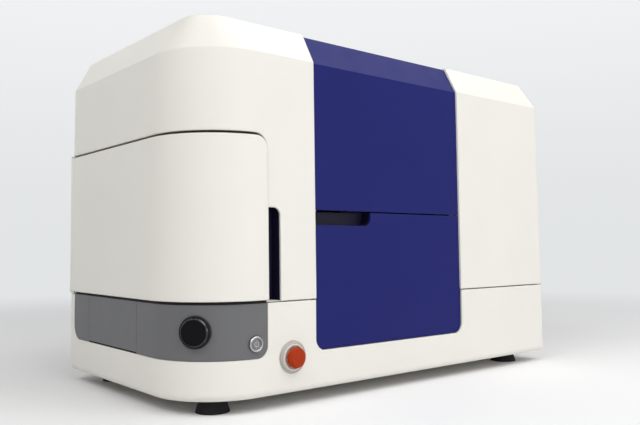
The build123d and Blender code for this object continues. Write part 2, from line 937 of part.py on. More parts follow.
def knob_encoder():
    back = knob_plane(-wall - bezel_depth - bezel_floor - encoder_depth)
    body = Box(encoder_size, encoder_size, encoder_depth, align=(mid, mid, low))
    return back * (body - Cylinder(shaft_radius + knob_clearance, encoder_depth, align=(mid, mid, low)))


def front_plane(x, z):
    return Plane(origin=(x, front_y, z), x_dir=(1, 0, 0), z_dir=(0, -1, 0))


def power_button_ring():
    """Bezel and barrel of the power button in one piece, with its locknut behind the band."""
    place = front_plane(power_x, power_height)
    bore = power_cap_radius + power_cap_clearance
    depth = wall + power_travel
    body = turned(place, [(bore, power_ring_proud), (power_ring_radius, power_ring_proud),
                          (power_ring_radius, 0), (power_barrel_radius, 0),
                          (power_barrel_radius, -power_barrel_length), (0, -power_barrel_length),
                          (0, -depth), (bore, -depth)])
    nut_back = wall + power_washer + nut_depth
    return body + locknut(place, power_nut_radius, power_barrel_radius - wall, nut_back)


def power_button_cap():
    place = front_plane(power_x, power_height)
    return turned(place, [(0, -wall), (power_cap_radius, -wall), (power_cap_radius, power_ring_proud),
                          (0, power_ring_proud)])


def stop_button_collar():
    place = front_plane(stop_x, stop_height)
    return place * extrude(Circle(stop_collar_radius) - Circle(stop_collar_bore), stop_collar_depth)


def stop_button_body():
    """Barrel with its flange, locknut and contact block."""
    place = front_plane(stop_x, stop_height)
    bore = stop_stem_radius + stop_stem_clearance
    flange = stop_collar_bore - panel_gap
    barrel = turned(place, [(bore, -stop_barrel_length), (stop_barrel_radius, -stop_barrel_length),
                            (stop_barrel_radius, 0), (flange, 0), (flange, stop_flange_depth),
                            (bore, stop_flange_depth)])
    nut = locknut(place, stop_nut_radius, stop_barrel_radius - wall, wall + nut_depth)
    half = stop_block_width / 2
    back = front_y + stop_barrel_length
    contact = block((stop_x - half, stop_x + half), (back, back + stop_block_depth),
                    (stop_height - half, stop_height + half))
    contact -= bar((stop_x, back, stop_height), (0, 1, 0), bore, stop_travel + panel_gap)
    return barrel + nut + contact


def stop_button_stem():
    place = front_plane(stop_x, stop_height)
    back = panel_gap - stop_barrel_length
    seat = stop_reach - stop_cap_thickness
    return turned(place, [(0, back), (stop_stem_radius, back), (stop_stem_radius, seat), (0, seat)])


def stop_button_cap():
    """Mushroom cap with a bevelled edge, on the end of the stem."""
    place = front_plane(stop_x, stop_height)
    under = stop_reach - stop_cap_thickness
    return turned(place, [(0, under), (stop_cap_radius, under), (stop_cap_radius, stop_reach - stop_edge),
                          (stop_cap_radius - stop_edge, stop_reach), (0, stop_reach)])


# ---------------------------------------------------------------- chassis and bays

def chassis_plate():
    """Base plate of the chassis, with windows over the base for wiring and for weight."""
    setbacks = (chassis_plate_inset,) * 4
    sheet = outline(chassis_bottom, setbacks, corner_radius - chassis_plate_inset, edge_radius / 2)
    plate = extrude(sheet, chassis_plate_thickness)
    for side in (-1, 1):
        y = (front_y + rear_y) / 2 + side * plate_window_width
        plate -= block((optics_x - plate_window_length / 2, optics_x + plate_window_length / 2),
                       (y - plate_window_width / 2, y + plate_window_width / 2), (0, far))
    return plate


def bulkhead(x_low, side):
    """Upright plate beside the blue centre, cut to the housing's own outline, with a seat flange."""
    rear = panel_inner_y - fan_depth
    slab = envelope(seat_inset) & block((x_low, x_low + bulkhead_thickness), (-far, rear), (chassis_top, far))
    inner = x_low + bulkhead_thickness + seat_flange if side > 0 else x_low - seat_flange
    flange_x = sorted((x_low + bulkhead_thickness / 2, inner))
    flange = shell(seat_inset, seat_inset + seat_thickness) & block(flange_x, (-far, rear), (seam_z, far))
    if side > 0:
        notch_bottom = panel_split - finger_recess_height - cup_wall - fit_gap
        flange -= block((x_low + bulkhead_thickness, far), (-far, far), (notch_bottom, panel_split + fit_gap))
    return slab + flange


def rear_post(x_low):
    y_high = panel_inner_y
    post = block((x_low, x_low + post_size), (y_high - post_size, y_high), (chassis_top, post_top))
    return post - block((x_low + return_wall, x_low + post_size - return_wall),
                        (y_high - post_size + return_wall, y_high - return_wall), (0, far))


def rear_posts():
    return [rear_post(left_x + window_margin), rear_post(right_x - window_margin - post_size)]


def left_bay_liner():
    """Floor, rear wall and ceiling of the left bay, bent from one sheet."""
    rear = left_bay_rear + liner_thickness
    ceiling = door_top_z + 2 * door_top_gap
    room = envelope(wall + fit_gap)
    floor = room & block((-far, pump_face_x), (-far, rear), (seam_z, bay_floor_z))
    roof = room & block((-far, pump_face_x), (-far, rear), (ceiling - liner_thickness, ceiling))
    clear_of_door = envelope(door_rim_depth + liner_rim_gap)
    back = clear_of_door & block((-far, pump_face_x), (left_bay_rear, rear), (seam_z, ceiling))
    return floor + roof + back


def optics_deck():
    y_low = front_y + 2 * seat_inset
    return block((bulkhead_left_x, bulkhead_right_x), (y_low, y_low + deck_depth), (deck_height, deck_top))


def chip_stage():
    """Raised table with a seat for the chip cartridge, on a wider foot."""
    foot_top = deck_top + stage_foot
    foot_plate = centred(optics_x, optics_y, stage_width, stage_depth, (deck_top, foot_top))
    table = centred(optics_x, optics_y, chip_width + 2 * stage_frame, stage_depth - 2 * stage_frame,
                    (foot_top, deck_top + stage_height))
    pocket = centred(optics_x, optics_y, chip_width + 2 * panel_gap, chip_depth + 2 * panel_gap,
                     (deck_top + stage_height - chip_seat, far))
    return foot_plate + table - pocket


def chip_cartridge():
    bottom = deck_top + stage_height - chip_seat
    body = centred(optics_x, optics_y, chip_width, chip_depth, (bottom, bottom + chip_thickness))
    return body - centred(optics_x, optics_y, chip_width - 2 * chip_border, chip_depth - 2 * chip_border,
                          (bottom + chip_thickness - chip_recess, far))


def optics_bridge():
    """Portal over the stage, whose beam carries the objective."""
    top = deck_top + bridge_height
    portal = centred(optics_x, optics_y, bridge_width, bridge_depth, (deck_top, top))
    portal -= centred(optics_x, optics_y, bridge_width - 2 * bridge_leg, far, (deck_top, top - bridge_beam))
    hole = lens_barrel_radius + lens_clearance
    return portal - bar((optics_x, optics_y, deck_top), (0, 0, 1), hole, far)


def objective_lens():
    """Objective that hangs in the bridge by its collar, with a narrow nose over the chip."""
    place = Plane(origin=(optics_x, optics_y, deck_top))
    nose_top = lens_bottom + lens_nose
    top = bridge_height + lens_collar
    return turned(place, [(0, lens_bottom), (lens_nose_radius, lens_bottom), (lens_nose_radius, nose_top),
                          (lens_barrel_radius, nose_top), (lens_barrel_radius, bridge_height),
                          (lens_collar_radius, bridge_height), (lens_collar_radius, top), (0, top)])


def laser_module():
    """Laser head with cooling fins along its top and its snout towards the chip."""
    x_low = optics_x - laser_beside_axis - laser_width
    y_low = optics_y + laser_behind_axis
    top = deck_top + laser_height
    body = block((x_low, x_low + laser_width), (y_low, y_low + laser_depth), (deck_top, top))
    groove = fin_pitch - fin_thickness
    for n in range(1, int(laser_width / fin_pitch)):
        x = x_low + n * fin_pitch
        body -= block((x, x + groove), (y_low + laser_snout, y_low + laser_depth - laser_snout),
                      (top - fin_depth, far))
    snout = (x_low + laser_width / 2, y_low, deck_top + laser_height / 2)
    return body + bar(snout, (0, -1, 0), laser_snout_radius, laser_snout)


def light_detectors():
    """Three detector housings in a row, each ribbed at the front and on a wider base."""
    row = []
    y = optics_y + detector_behind_axis
    groove = fin_pitch - fin_thickness
    wide = detector_size + 2 * detector_base
    for n in range(3):
        x = optics_x + detector_beside_axis + n * detector_pitch
        can = centred(x, y, detector_size, detector_size, (deck_top, deck_top + detector_height))
        for step in range(1, int(detector_size / fin_pitch)):
            groove_x = x - detector_size / 2 + step * fin_pitch + groove / 2
            can -= centred(groove_x, y - detector_size / 2, groove, 2 * detector_base,
                           (deck_top + detector_base_height + groove, deck_top + detector_height - groove))
        row.append(can + centred(x, y, wide, wide, (deck_top, deck_top + detector_base_height)))
    return row


def syringe_pump(y):
    """Pump body on the left bulkhead, with a guide slot for its carriage."""
    x_low = pump_face_x - pump_reach
    half = pump_width / 2
    body = block((x_low, pump_face_x), (y - half, y + half), (pump_bottom, pump_bottom + pump_height))
    slot_bottom = pump_bottom + pump_slot_rise
    return body - block((-far, x_low + pump_slot_depth), (y - pump_slot_width / 2, y + pump_slot_width / 2),
                        (slot_bottom, slot_bottom + pump_slot_length))


def syringe_barrel(y):
    glass = ring((barrel_x, y, barrel_bottom), (0, 0, 1), barrel_radius, barrel_bore, barrel_length)
    half = valve_width / 2
    valve = block((barrel_x - half, pump_face_x - pump_reach), (y - half, y + half),
                  (valve_bottom, valve_bottom + valve_height))
    return [glass, valve]


def syringe_plunger(y):
    """Piston and rod, with the carriage that runs in the pump's slot."""
    carriage_top = barrel_bottom - plunger_reach
    head_bottom = barrel_bottom + plunger_stroke_start
    rod = bar((barrel_x, y, carriage_top), (0, 0, 1), plunger_rod_radius, head_bottom - carriage_top)
    head = bar((barrel_x, y, head_bottom), (0, 0, 1), barrel_bore - plunger_fit, plunger_head)
    carriage = block((barrel_x - carriage_end, barrel_x - carriage_end + carriage_reach),
                     (y - carriage_width / 2, y + carriage_width / 2),
                     (carriage_top - carriage_height, carriage_top))
    return rod + head + carriage


def bottle_rack():
    """Tray with a square pocket for each bottle, open below the pockets' rims."""
    half = rack_width / 2
    y_span = (rack_front, rack_front + rack_length)
    rack = block((rack_x - half, rack_x + half), y_span, (bay_floor_z, bay_floor_z + rack_height))
    rack -= block((rack_x - half + rack_wall, rack_x + half - rack_wall),
                  (y_span[0] + rack_wall, y_span[1] - rack_wall),
                  (bottle_bottom, bay_floor_z + rack_height - rack_end))
    pocket = bottle_radius + bottle_clearance
    for y in bottle_places:
        rack -= block((rack_x - pocket, rack_x + pocket), (y - pocket, y + pocket), (bottle_bottom, far))
    return rack


def reagent_bottles():
    """Square bottles whose shoulders taper to a round neck."""
    taper = degrees(atan((bottle_radius - bottle_neck_radius) / bottle_shoulder))
    square = Rectangle(2 * bottle_radius, 2 * bottle_radius)
    bottle = extrude(square, bottle_body)
    bottle += extrude(Pos(0, 0, bottle_body) * square, bottle_shoulder, taper=taper)
    neck_bottom = bottle_body + bottle_shoulder
    bottle += Pos(0, 0, neck_bottom) * Cylinder(bottle_neck_radius, bottle_neck, align=(mid, mid, low))
    return [Pos(rack_x, y, bottle_bottom) * bottle for y in bottle_places]


def bottle_caps():
    return [bar((rack_x, y, bottle_top), (0, 0, 1), bottle_cap_radius, bottle_cap_height)
            for y in bottle_places]


def power_supply():
    """Folded case with a row of ventilation slots in its lid, open underneath."""
    x_high = right_x - supply_from_right
    y_high = rear_y - supply_from_rear
    x_low, y_low = x_high - supply_width, y_high - supply_depth
    top = chassis_top + supply_height
    case = block((x_low, x_high), (y_low, y_high), (chassis_top, top))
    case -= block((x_low + supply_wall, x_high - supply_wall), (y_low + supply_wall, y_high - supply_wall),
                  (0, top - supply_wall))
    for n in range(int((supply_width - 2 * supply_slot_margin) / supply_slot_pitch)):
        x = x_low + supply_slot_margin + n * supply_slot_pitch
        case -= block((x, x + supply_slot_width), (y_low + supply_slot_margin, y_high - supply_slot_margin),
                      (top - wall, far))
    return case


def control_board():
    """Circuit board on four standoffs, with a heat sink, a processor and edge connectors."""
    foot_x = bulkhead_right_x + bulkhead_thickness
    x = foot_x + board_standoff
    face = x + board_thickness
    y_low, y_high = front_y + board_from_front, front_y + board_from_front + board_length
    z_low = seam_z + board_above_seam
    z_high = z_low + board_height
    board = block((x, face), (y_low, y_high), (z_low, z_high))
    for y in (y_low + standoff_width, y_high - standoff_width):
        for z in (z_low + standoff_width, z_high - standoff_width):
            half = standoff_width / 2
            board += block((foot_x, x), (y - half, y + half), (z - half, z + half))
    sink_y = y_high - 2 * heat_sink_length
    sink_z = z_low + heat_sink_height
    board += block((face, face + heat_sink_base), (sink_y, sink_y + heat_sink_length),
                   (sink_z, sink_z + heat_sink_height))
    for n in range(int(heat_sink_length / fin_pitch)):
        y = sink_y + n * fin_pitch
        board += block((face, face + heat_sink_reach), (y, y + fin_thickness),
                       (sink_z, sink_z + heat_sink_height))
    board += block((face, face + processor_thickness),
                   (y_low + 2 * processor_size, y_low + 3 * processor_size),
                   (z_high - 3 * processor_size, z_high - 2 * processor_size))
    for n in range(connector_count):
        y = y_low + connector_length * (1 + 1.5 * n)
        board += block((face, face + connector_height), (y, y + connector_length),
                       (z_high - connector_height, z_high))
    return board


# ---------------------------------------------------------------- rear

def fan_centres():
    middle = (centre_left_x + centre_right_x) / 2
    return [middle - fan_spacing / 2, middle + fan_spacing / 2]





def rear_panel():
    """Plate inside the rear window, with holes for both fans, the inlet and the ports, and a grille."""
    plate = block((left_x + window_margin - panel_overlap, right_x - window_margin + panel_overlap),
                  (panel_inner_y, rear_inner_y), (window_bottom - panel_overlap, window_top + panel_overlap))
    for x in fan_centres():
        plate -= bar((x, panel_inner_y - wall, fan_height), (0, 1, 0), fan_bore, 3 * wall)
    plate -= rear_hole(inlet_x, inlet_width, inlet_height)
    plate -= rear_hole(ports_x, ports_width, ports_height)
    for column in range(vent_slots):
        slot_x = right_x - vent_from_right + vent_pitch * column
        plate -= block((slot_x, slot_x + vent_width), (0, far), (vent_bottom, vent_bottom + vent_height))
    return plate


def rear_hole(x, width, height):
    return block((x - width / 2, x + width / 2), (0, far), (inlet_z - height / 2, inlet_z + height / 2))


def fan_frames():
    frames = []
    for x in fan_centres():
        y_low = panel_inner_y - fan_depth
        half = fan_size / 2
        frame = block((x - half, x + half), (y_low, panel_inner_y), (fan_height - half, fan_height + half))
        frame -= bar((x, y_low - wall, fan_height), (0, 1, 0), fan_bore, fan_depth + 2 * wall)
        frame += bar((x, y_low, fan_height), (0, 1, 0), fan_hub, fan_hub_plate)
        for turn in range(3):
            strut = Pos(0, 0, (fan_bore + fan_hub) / 2) * Box(
                fan_strut_width, fan_hub_plate, fan_bore - fan_hub + wall, align=(mid, low, mid))
            frame += Pos(x, y_low, fan_height) * (Rot(0, 120 * turn, 0) * strut)
        frames.append(frame)
    return frames


def fan_rotor(x):
    """Hub with pitched flat blades, rooted in the hub and just clear of the frame."""
    y_low = panel_inner_y - fan_depth + fan_hub_plate + fit_gap
    depth = fan_depth - 2 * fan_hub_plate
    rotor = bar((x, y_low, fan_height), (0, 1, 0), fan_hub, depth)
    tip = fan_bore - fan_tip_gap
    chord = (depth - fan_blade_thickness) / cos(radians(fan_blade_pitch))
    blade = Pos(0, 0, (tip + fan_hub - wall) / 2) * (Rot(0, 0, fan_blade_pitch) * Box(
        fan_blade_thickness, chord, tip - fan_hub + wall))
    for turn in range(fan_blades):
        turned_blade = Rot(0, 360 * turn / fan_blades, 0) * blade
        rotor += Pos(x, y_low + depth / 2, fan_height) * turned_blade
    return rotor


def fan_guards():
    """Square frames over the fans, with slats tilted against splashes."""
    guards = []
    half = fan_size / 2 + guard_lap
    inner = half - guard_frame
    for x in fan_centres():
        guard = block((x - half, x + half), (rear_inner_y, rear_inner_y + guard_depth),
                      (fan_height - half, fan_height + half))
        guard -= block((x - inner, x + inner), (0, far), (fan_height - inner, fan_height + inner))
        for n in range(guard_slats):
            z = fan_height - inner + (n + 0.5) * 2 * inner / guard_slats
            slat = Rot(guard_slat_tilt, 0, 0) * Box(2 * inner, guard_slat_width, rail_wall)
            guard += Pos(x, rear_inner_y + guard_depth / 2, z) * slat
        guards.append(guard)
    return guards


def power_inlet():
    """Appliance inlet with three pins, and the cavity of its rocker switch above it."""
    front = rear_inner_y - inlet_depth
    half_width, half_height = inlet_width / 2, inlet_height / 2
    body = block((inlet_x - half_width, inlet_x + half_width), (front, rear_inner_y),
                 (inlet_z - half_height, inlet_z + half_height))
    body += block((inlet_x - half_width - inlet_lip, inlet_x + half_width + inlet_lip),
                  (rear_inner_y, rear_inner_y + inlet_flange),
                  (inlet_z - half_height - inlet_lip, inlet_z + half_height + inlet_lip))
    socket_back = rear_inner_y + inlet_flange - socket_depth
    socket_bottom = inlet_z - socket_drop
    body -= block((inlet_x - socket_width / 2, inlet_x + socket_width / 2), (socket_back, far),
                  (socket_bottom, socket_bottom + socket_height))
    for n in (-1, 0, 1):
        x = inlet_x + n * pin_pitch
        middle = socket_bottom + socket_height / 2
        body += block((x - pin_width / 2, x + pin_width / 2), (socket_back - inlet_flange, rear_inner_y - 1),
                      (middle - pin_height / 2, middle + pin_height / 2))
    half = rocker_width / 2 + fit_gap
    return body - block((inlet_x - half, inlet_x + half), (rear_inner_y - rocker_cavity, far),
                        (rocker_z - rocker_length / 2 - fit_gap, rocker_z + rocker_length / 2 + fit_gap))


def power_switch_rocker():
    y = rear_inner_y - rocker_sunk
    drum = bar((inlet_x - rocker_width / 2, y, rocker_z), (1, 0, 0), rocker_length / 2, rocker_width)
    return drum & block((-far, far), (y - rocker_proud - fit_gap, rear_inner_y + rocker_proud), (-far, far))


def data_ports():
    """Port block: one network socket and two narrow data sockets."""
    half_width, half_height = ports_width / 2, ports_height / 2
    body = block((ports_x - half_width, ports_x + half_width), (rear_inner_y - ports_depth, rear_inner_y),
                 (inlet_z - half_height, inlet_z + half_height))
    sockets = [(ports_x - network_port_place, network_port_width)]
    sockets += [(ports_x + n * data_port_pitch, data_port_width) for n in range(2)]
    for x, width in sockets:
        body -= block((x, x + width), (rear_inner_y - port_depth, far),
                      (inlet_z - port_height / 2, inlet_z + port_height / 2))
    return body


# ---------------------------------------------------------------- the assembly

parts["base_housing"] = base_housing()
parts["feet"] = feet()
parts["left_cover"] = left_cover()
parts["right_cover"] = right_cover()
parts["centre_top_cover"] = centre_top_cover()
parts["handle_recess_cup"] = handle_recess_cup()
parts["lower_front_panel"] = lower_front_panel()
parts["finger_recess_cup"] = finger_recess_cup()
parts["lift_door"] = lift_door()
parts["lift_hinge_fixed_leaf"] = lift_hinge_fixed_leaf()
parts["lift_hinge_door_leaf"] = lift_hinge_door_leaf()
parts["left_door"] = left_door()
parts["door_hinge_brackets"] = door_hinge_brackets()
parts["hinge_pins"] = hinge_pins()
parts["door_magnets"] = door_magnets()
parts["trim_front_panel"] = trim_front_panel()
parts["trim_rear_panel"] = trim_rear_panel()
parts["drawer_front"] = drawer_front()
parts["drawer_tray"] = drawer_tray()
parts["drawer_rails"] = drawer_rails()
parts["microplate"] = microplate()
parts["knob_bezel"] = knob_bezel()
parts["control_knob"] = control_knob()
parts["knob_shaft"] = knob_shaft()
parts["knob_encoder"] = knob_encoder()
parts["power_button_ring"] = power_button_ring()
parts["power_button_cap"] = power_button_cap()
parts["stop_button_collar"] = stop_button_collar()
parts["stop_button_body"] = stop_button_body()
parts["stop_button_stem"] = stop_button_stem()
parts["stop_button_cap"] = stop_button_cap()
parts["chassis_plate"] = chassis_plate()
parts["bulkhead_left"] = bulkhead(bulkhead_left_x - bulkhead_thickness, 1)
parts["bulkhead_right"] = bulkhead(bulkhead_right_x, -1)
parts["rear_posts"] = rear_posts()
parts["left_bay_liner"] = left_bay_liner()
parts["optics_deck"] = optics_deck()
parts["chip_stage"] = chip_stage()
parts["chip_cartridge"] = chip_cartridge()
parts["optics_bridge"] = optics_bridge()
parts["objective_lens"] = objective_lens()
parts["laser_module"] = laser_module()
parts["light_detectors"] = light_detectors()
parts["syringe_pumps"] = [syringe_pump(y) for y in pump_places]
parts["syringe_barrels"] = [piece for y in pump_places for piece in syringe_barrel(y)]
for name, y in zip(("front", "rear"), pump_places):
    parts["syringe_plunger_" + name] = syringe_plunger(y)
parts["bottle_rack"] = bottle_rack()
parts["reagent_bottles"] = reagent_bottles()
parts["bottle_caps"] = bottle_caps()
parts["power_supply"] = power_supply()
parts["control_board"] = control_board()
parts["rear_panel"] = rear_panel()
parts["fan_frames"] = fan_frames()
for name, x in zip(("left", "right"), fan_centres()):
    parts["fan_rotor_" + name] = fan_rotor(x)
parts["fan_guards"] = fan_guards()
parts["power_inlet"] = power_inlet()
parts["power_switch_rocker"] = power_switch_rocker()
parts["data_ports"] = data_ports()

os.makedirs("parts", exist_ok=True)
for name, shape in parts.items():
    solid = Compound(children=shape) if isinstance(shape, list) else shape
    export_step(solid, "parts/" + name + ".step")
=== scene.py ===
"""Looks of the bench-top flow cytometer: materials, small details, floor, light and camera."""
import json
from math import atan2, cos, pi, radians, sin, sqrt, tan

import bmesh
import bpy
from mathutils import Matrix, Vector

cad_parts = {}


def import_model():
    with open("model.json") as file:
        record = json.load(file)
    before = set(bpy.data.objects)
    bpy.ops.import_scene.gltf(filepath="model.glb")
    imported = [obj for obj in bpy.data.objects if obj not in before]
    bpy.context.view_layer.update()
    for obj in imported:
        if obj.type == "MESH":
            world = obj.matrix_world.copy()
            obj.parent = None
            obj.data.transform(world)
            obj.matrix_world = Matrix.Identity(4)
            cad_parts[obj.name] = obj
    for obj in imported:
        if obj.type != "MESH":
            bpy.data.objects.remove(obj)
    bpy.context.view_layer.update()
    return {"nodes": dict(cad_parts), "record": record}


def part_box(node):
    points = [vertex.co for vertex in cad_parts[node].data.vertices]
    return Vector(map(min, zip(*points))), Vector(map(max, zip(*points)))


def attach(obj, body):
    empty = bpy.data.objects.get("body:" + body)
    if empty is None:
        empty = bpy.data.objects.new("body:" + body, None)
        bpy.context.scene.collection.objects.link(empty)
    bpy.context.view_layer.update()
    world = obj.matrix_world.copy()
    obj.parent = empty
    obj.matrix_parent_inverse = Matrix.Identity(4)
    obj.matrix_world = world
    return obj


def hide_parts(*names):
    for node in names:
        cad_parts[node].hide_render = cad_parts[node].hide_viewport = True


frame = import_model()
nodes = frame["nodes"]

MM = 0.001

# ---------------------------------------------------------------- materials

NOISE_LOW, NOISE_HIGH = 0.3, 0.7
BEVEL_SAMPLES = 6
DRIFT_SCALE = 6.0
SMEAR_SCALE = 22.0
BRUSH_SCALE = 90.0
GRAIN_STRENGTH = 0.35
BRUSH_STRENGTH = 0.12
BRUSH_DEPTH = 0.00002

def material(name, colour, roughness, metallic=0.0, specular=0.5):
    """A Principled material and its tree; uniform values sit on the shader's own sockets."""
    made = bpy.data.materials.new(name)
    made.use_nodes = True
    shader = made.node_tree.nodes["Principled BSDF"]
    shader.inputs["Base Color"].default_value = (*colour, 1)
    shader.inputs["Roughness"].default_value = roughness
    shader.inputs["Metallic"].default_value = metallic
    shader.inputs["Specular IOR Level"].default_value = specular
    return made, made.node_tree, shader


def noise(tree, scale, detail=2.0, roughness=0.5, stretch=None):
    """Noise in the object's own space, so it stays with the piece."""
    texture = tree.nodes.new("ShaderNodeTexNoise")
    texture.inputs["Scale"].default_value = scale
    texture.inputs["Detail"].default_value = detail
    texture.inputs["Roughness"].default_value = roughness
    place = tree.nodes.new("ShaderNodeTexCoord")
    if stretch:
        mapping = tree.nodes.new("ShaderNodeMapping")
        mapping.inputs["Scale"].default_value = stretch
        tree.links.new(place.outputs["Object"], mapping.inputs["Vector"])
        tree.links.new(mapping.outputs["Vector"], texture.inputs["Vector"])
    else:
        tree.links.new(place.outputs["Object"], texture.inputs["Vector"])
    return texture


def between(tree, source, low, high):
    """Maps the values that noise mostly takes to a range."""
    span = tree.nodes.new("ShaderNodeMapRange")
    span.inputs["From Min"].default_value = NOISE_LOW
    span.inputs["From Max"].default_value = NOISE_HIGH
    span.inputs["To Min"].default_value = low
    span.inputs["To Max"].default_value = high
    tree.links.new(source, span.inputs["Value"])
    return span.outputs["Result"]


def tint(tree, source, shader, colour_a, colour_b):
    """Base colour that follows source from one colour to another."""
    mix = tree.nodes.new("ShaderNodeMix")
    mix.data_type = "RGBA"
    mix.inputs[6].default_value = (*colour_a, 1)
    mix.inputs[7].default_value = (*colour_b, 1)
    tree.links.new(source, mix.inputs[0])
    tree.links.new(mix.outputs[2], shader.inputs["Base Color"])


def relief(tree, source, shader, strength, distance, edge=0.0):
    """Fine bumps, over edges that look as softly rounded as edge says."""
    bump = tree.nodes.new("ShaderNodeBump")
    bump.inputs["Strength"].default_value = strength
    bump.inputs["Distance"].default_value = distance
    if edge:
        soft = tree.nodes.new("ShaderNodeBevel")
        soft.samples = BEVEL_SAMPLES
        soft.inputs["Radius"].default_value = edge
        tree.links.new(soft.outputs["Normal"], bump.inputs["Normal"])
    tree.links.new(source, bump.inputs["Height"])
    tree.links.new(bump.outputs["Normal"], shader.inputs["Normal"])


def shade(colour, share):
    """Colour made lighter or darker by share."""
    return tuple(channel * share for channel in colour)


def moulded(name, colour, roughness, grain=1400.0, depth=0.00003, spread=0.02, specular=0.5, edge=0.0):
    """Painted or moulded plastic: fine grain in the surface and a faint drift of tone and gloss."""
    made, tree, shader = material(name, colour, roughness, specular=specular)
    drift = noise(tree, DRIFT_SCALE, detail=3.0)
    tint(tree, between(tree, drift.outputs["Fac"], 0, 1), shader, shade(colour, 1 - spread),
         shade(colour, 1 + spread))
    smear = noise(tree, SMEAR_SCALE, detail=4.0)
    tree.links.new(between(tree, smear.outputs["Fac"], roughness * 0.92, min(1, roughness * 1.1)),
                   shader.inputs["Roughness"])
    relief(tree, noise(tree, grain, detail=1.0).outputs["Fac"], shader, GRAIN_STRENGTH, depth, edge)
    return made


def brushed(name, colour, roughness, stretch=(1, 1, 60)):
    """Brushed or machined metal."""
    made, tree, shader = material(name, colour, roughness, metallic=1.0)
    lines = noise(tree, BRUSH_SCALE, detail=5.0, roughness=0.65, stretch=stretch)
    tree.links.new(between(tree, lines.outputs["Fac"], roughness * 0.75, roughness * 1.3),
                   shader.inputs["Roughness"])
    tint(tree, between(tree, lines.outputs["Fac"], 0, 1), shader, shade(colour, 0.94), shade(colour, 1.04))
    relief(tree, lines.outputs["Fac"], shader, BRUSH_STRENGTH, BRUSH_DEPTH)
    return made


def clear(name, colour, roughness, alpha):
    """Glass or clear plastic."""
    made, tree, shader = material(name, colour, roughness)
    shader.inputs["Transmission Weight"].default_value = 0.85
    shader.inputs["IOR"].default_value = 1.47
    shader.inputs["Alpha"].default_value = alpha
    wave = noise(tree, 35.0)
    tree.links.new(between(tree, wave.outputs["Fac"], roughness, roughness * 2.2), shader.inputs["Roughness"])
    return made


WHITE = (0.79, 0.77, 0.715)
BLUE = (0.011, 0.014, 0.125)
GREY = (0.150, 0.151, 0.156)
BLACK = (0.010, 0.010, 0.011)

FINISHES = {
    "white_cover": moulded("white_cover", WHITE, 0.42, grain=900.0, depth=0.00004, spread=0.012,
                           specular=0.35, edge=0.003),
    "blue_panel": moulded("blue_panel", BLUE, 0.45, grain=1100.0, spread=0.03, specular=0.12, edge=0.0012),
    "grey_trim": moulded("grey_trim", GREY, 0.42, grain=1300.0, spread=0.03, specular=0.15, edge=0.0008),
    # dark_cup lining: partly its own navy and partly painted shade, set much darker than the blue panels to
    # stand in for the dark of the recess.
    "dark_cup": moulded("dark_cup", (0.010, 0.008, 0.030), 0.5, spread=0.05, specular=0.2),
    "black_plastic": moulded("black_plastic", BLACK, 0.45, grain=1800.0, spread=0.08, specular=0.3),
    "black_rubber": moulded("black_rubber", (0.012, 0.012, 0.013), 0.75, grain=700.0, spread=0.12,
                            specular=0.2),
    "knob_black": moulded("knob_black", (0.004, 0.0035, 0.0045), 0.5, grain=2600.0, depth=0.00001,
                          spread=0.05, specular=0.08),
    "steel": brushed("steel", (0.60, 0.60, 0.61), 0.26),
    "button_grey": brushed("button_grey", (0.22, 0.22, 0.23), 0.42, stretch=(60, 1, 1)),
    "red_cap": moulded("red_cap", (0.375, 0.034, 0.005), 0.38, grain=2200.0, depth=0.00001, spread=0.05,
                       specular=0.12),
    "collar": moulded("collar", (0.68, 0.65, 0.60), 0.42, spread=0.02, specular=0.3),
    "aluminium": brushed("aluminium", (0.72, 0.73, 0.74), 0.34, stretch=(1, 40, 1)),
    "black_anodised": moulded("black_anodised", (0.02, 0.02, 0.022), 0.36, grain=3000.0, spread=0.08),
    "sheet_metal": moulded("sheet_metal", (0.66, 0.66, 0.64), 0.46, grain=650.0, depth=0.00006, spread=0.02),
    "clear_plastic": clear("clear_plastic", (0.86, 0.89, 0.90), 0.08, alpha=0.6),
    "glass": clear("glass", (0.80, 0.86, 0.88), 0.03, alpha=0.4),
    "bottle_cap": moulded("bottle_cap", (0.03, 0.10, 0.38), 0.4),
    "board": moulded("board", (0.01, 0.13, 0.05), 0.35, grain=400.0),
    "magnet": brushed("magnet", (0.70, 0.70, 0.70), 0.2),
}
RING_STEEL = brushed("ring_steel", (0.46, 0.46, 0.47), 0.24)
# Darker finish for the stop collar's flank: painted shade round the cap, not a colour of its own.
COLLAR_FLANK_SHADE = moulded("collar_flank_painted_shade", (0.44, 0.41, 0.375), 0.45, spread=0.02, specular=0.2)
GLOSS_BLACK = moulded("gloss_black", (0.010, 0.010, 0.012), 0.16, grain=2600.0, depth=0.000005, spread=0.05)

SLOTS = {entry["node"]: entry["material_slot"] for entry in frame["record"]["subparts"]}
for entry in frame["record"]["subparts"]:
    thing = nodes[entry["node"]]
    thing.data.materials.clear()
    thing.data.materials.append(FINISHES[entry["material_slot"]])

# ---------------------------------------------------------------- making pieces

# A support point stands this many arc reaches from a soft corner, to keep its neighbours flat.
SUPPORT = 1.35


def facing(origin, outwards):
    """Place for a piece made along Z: its Z looks outwards, its Y looks up."""
    ahead = Vector(outwards).normalized()
    up = Vector((0, 0, 1))
    side = up.cross(ahead).normalized()
    turn = Matrix((side, up, ahead)).transposed().to_4x4()
    return Matrix.Translation(Vector(origin) * MM) @ turn


def softened(profile, steps=4):
    """Profile of (radius, depth, corner radius): each corner becomes a short arc with a support point."""
    points = []
    for index, (r, d, soft) in enumerate(profile):
        here = Vector((r, d))
        if not soft:
            points.append(here)
            continue
        before = Vector(profile[index - 1][:2])
        after = Vector(profile[(index + 1) % len(profile)][:2])
        back, on = (before - here).normalized(), (after - here).normalized()
        half = back.angle(on) / 2
        reach = soft / tan(half)
        centre = here + (back + on).normalized() * (soft / sin(half))
        first, last = here + back * reach - centre, here + on * reach - centre
        points.append(here + back * reach * SUPPORT)
        points += [centre + first.slerp(last, step / steps) for step in range(steps + 1)]
        points.append(here + on * reach * SUPPORT)
    return points


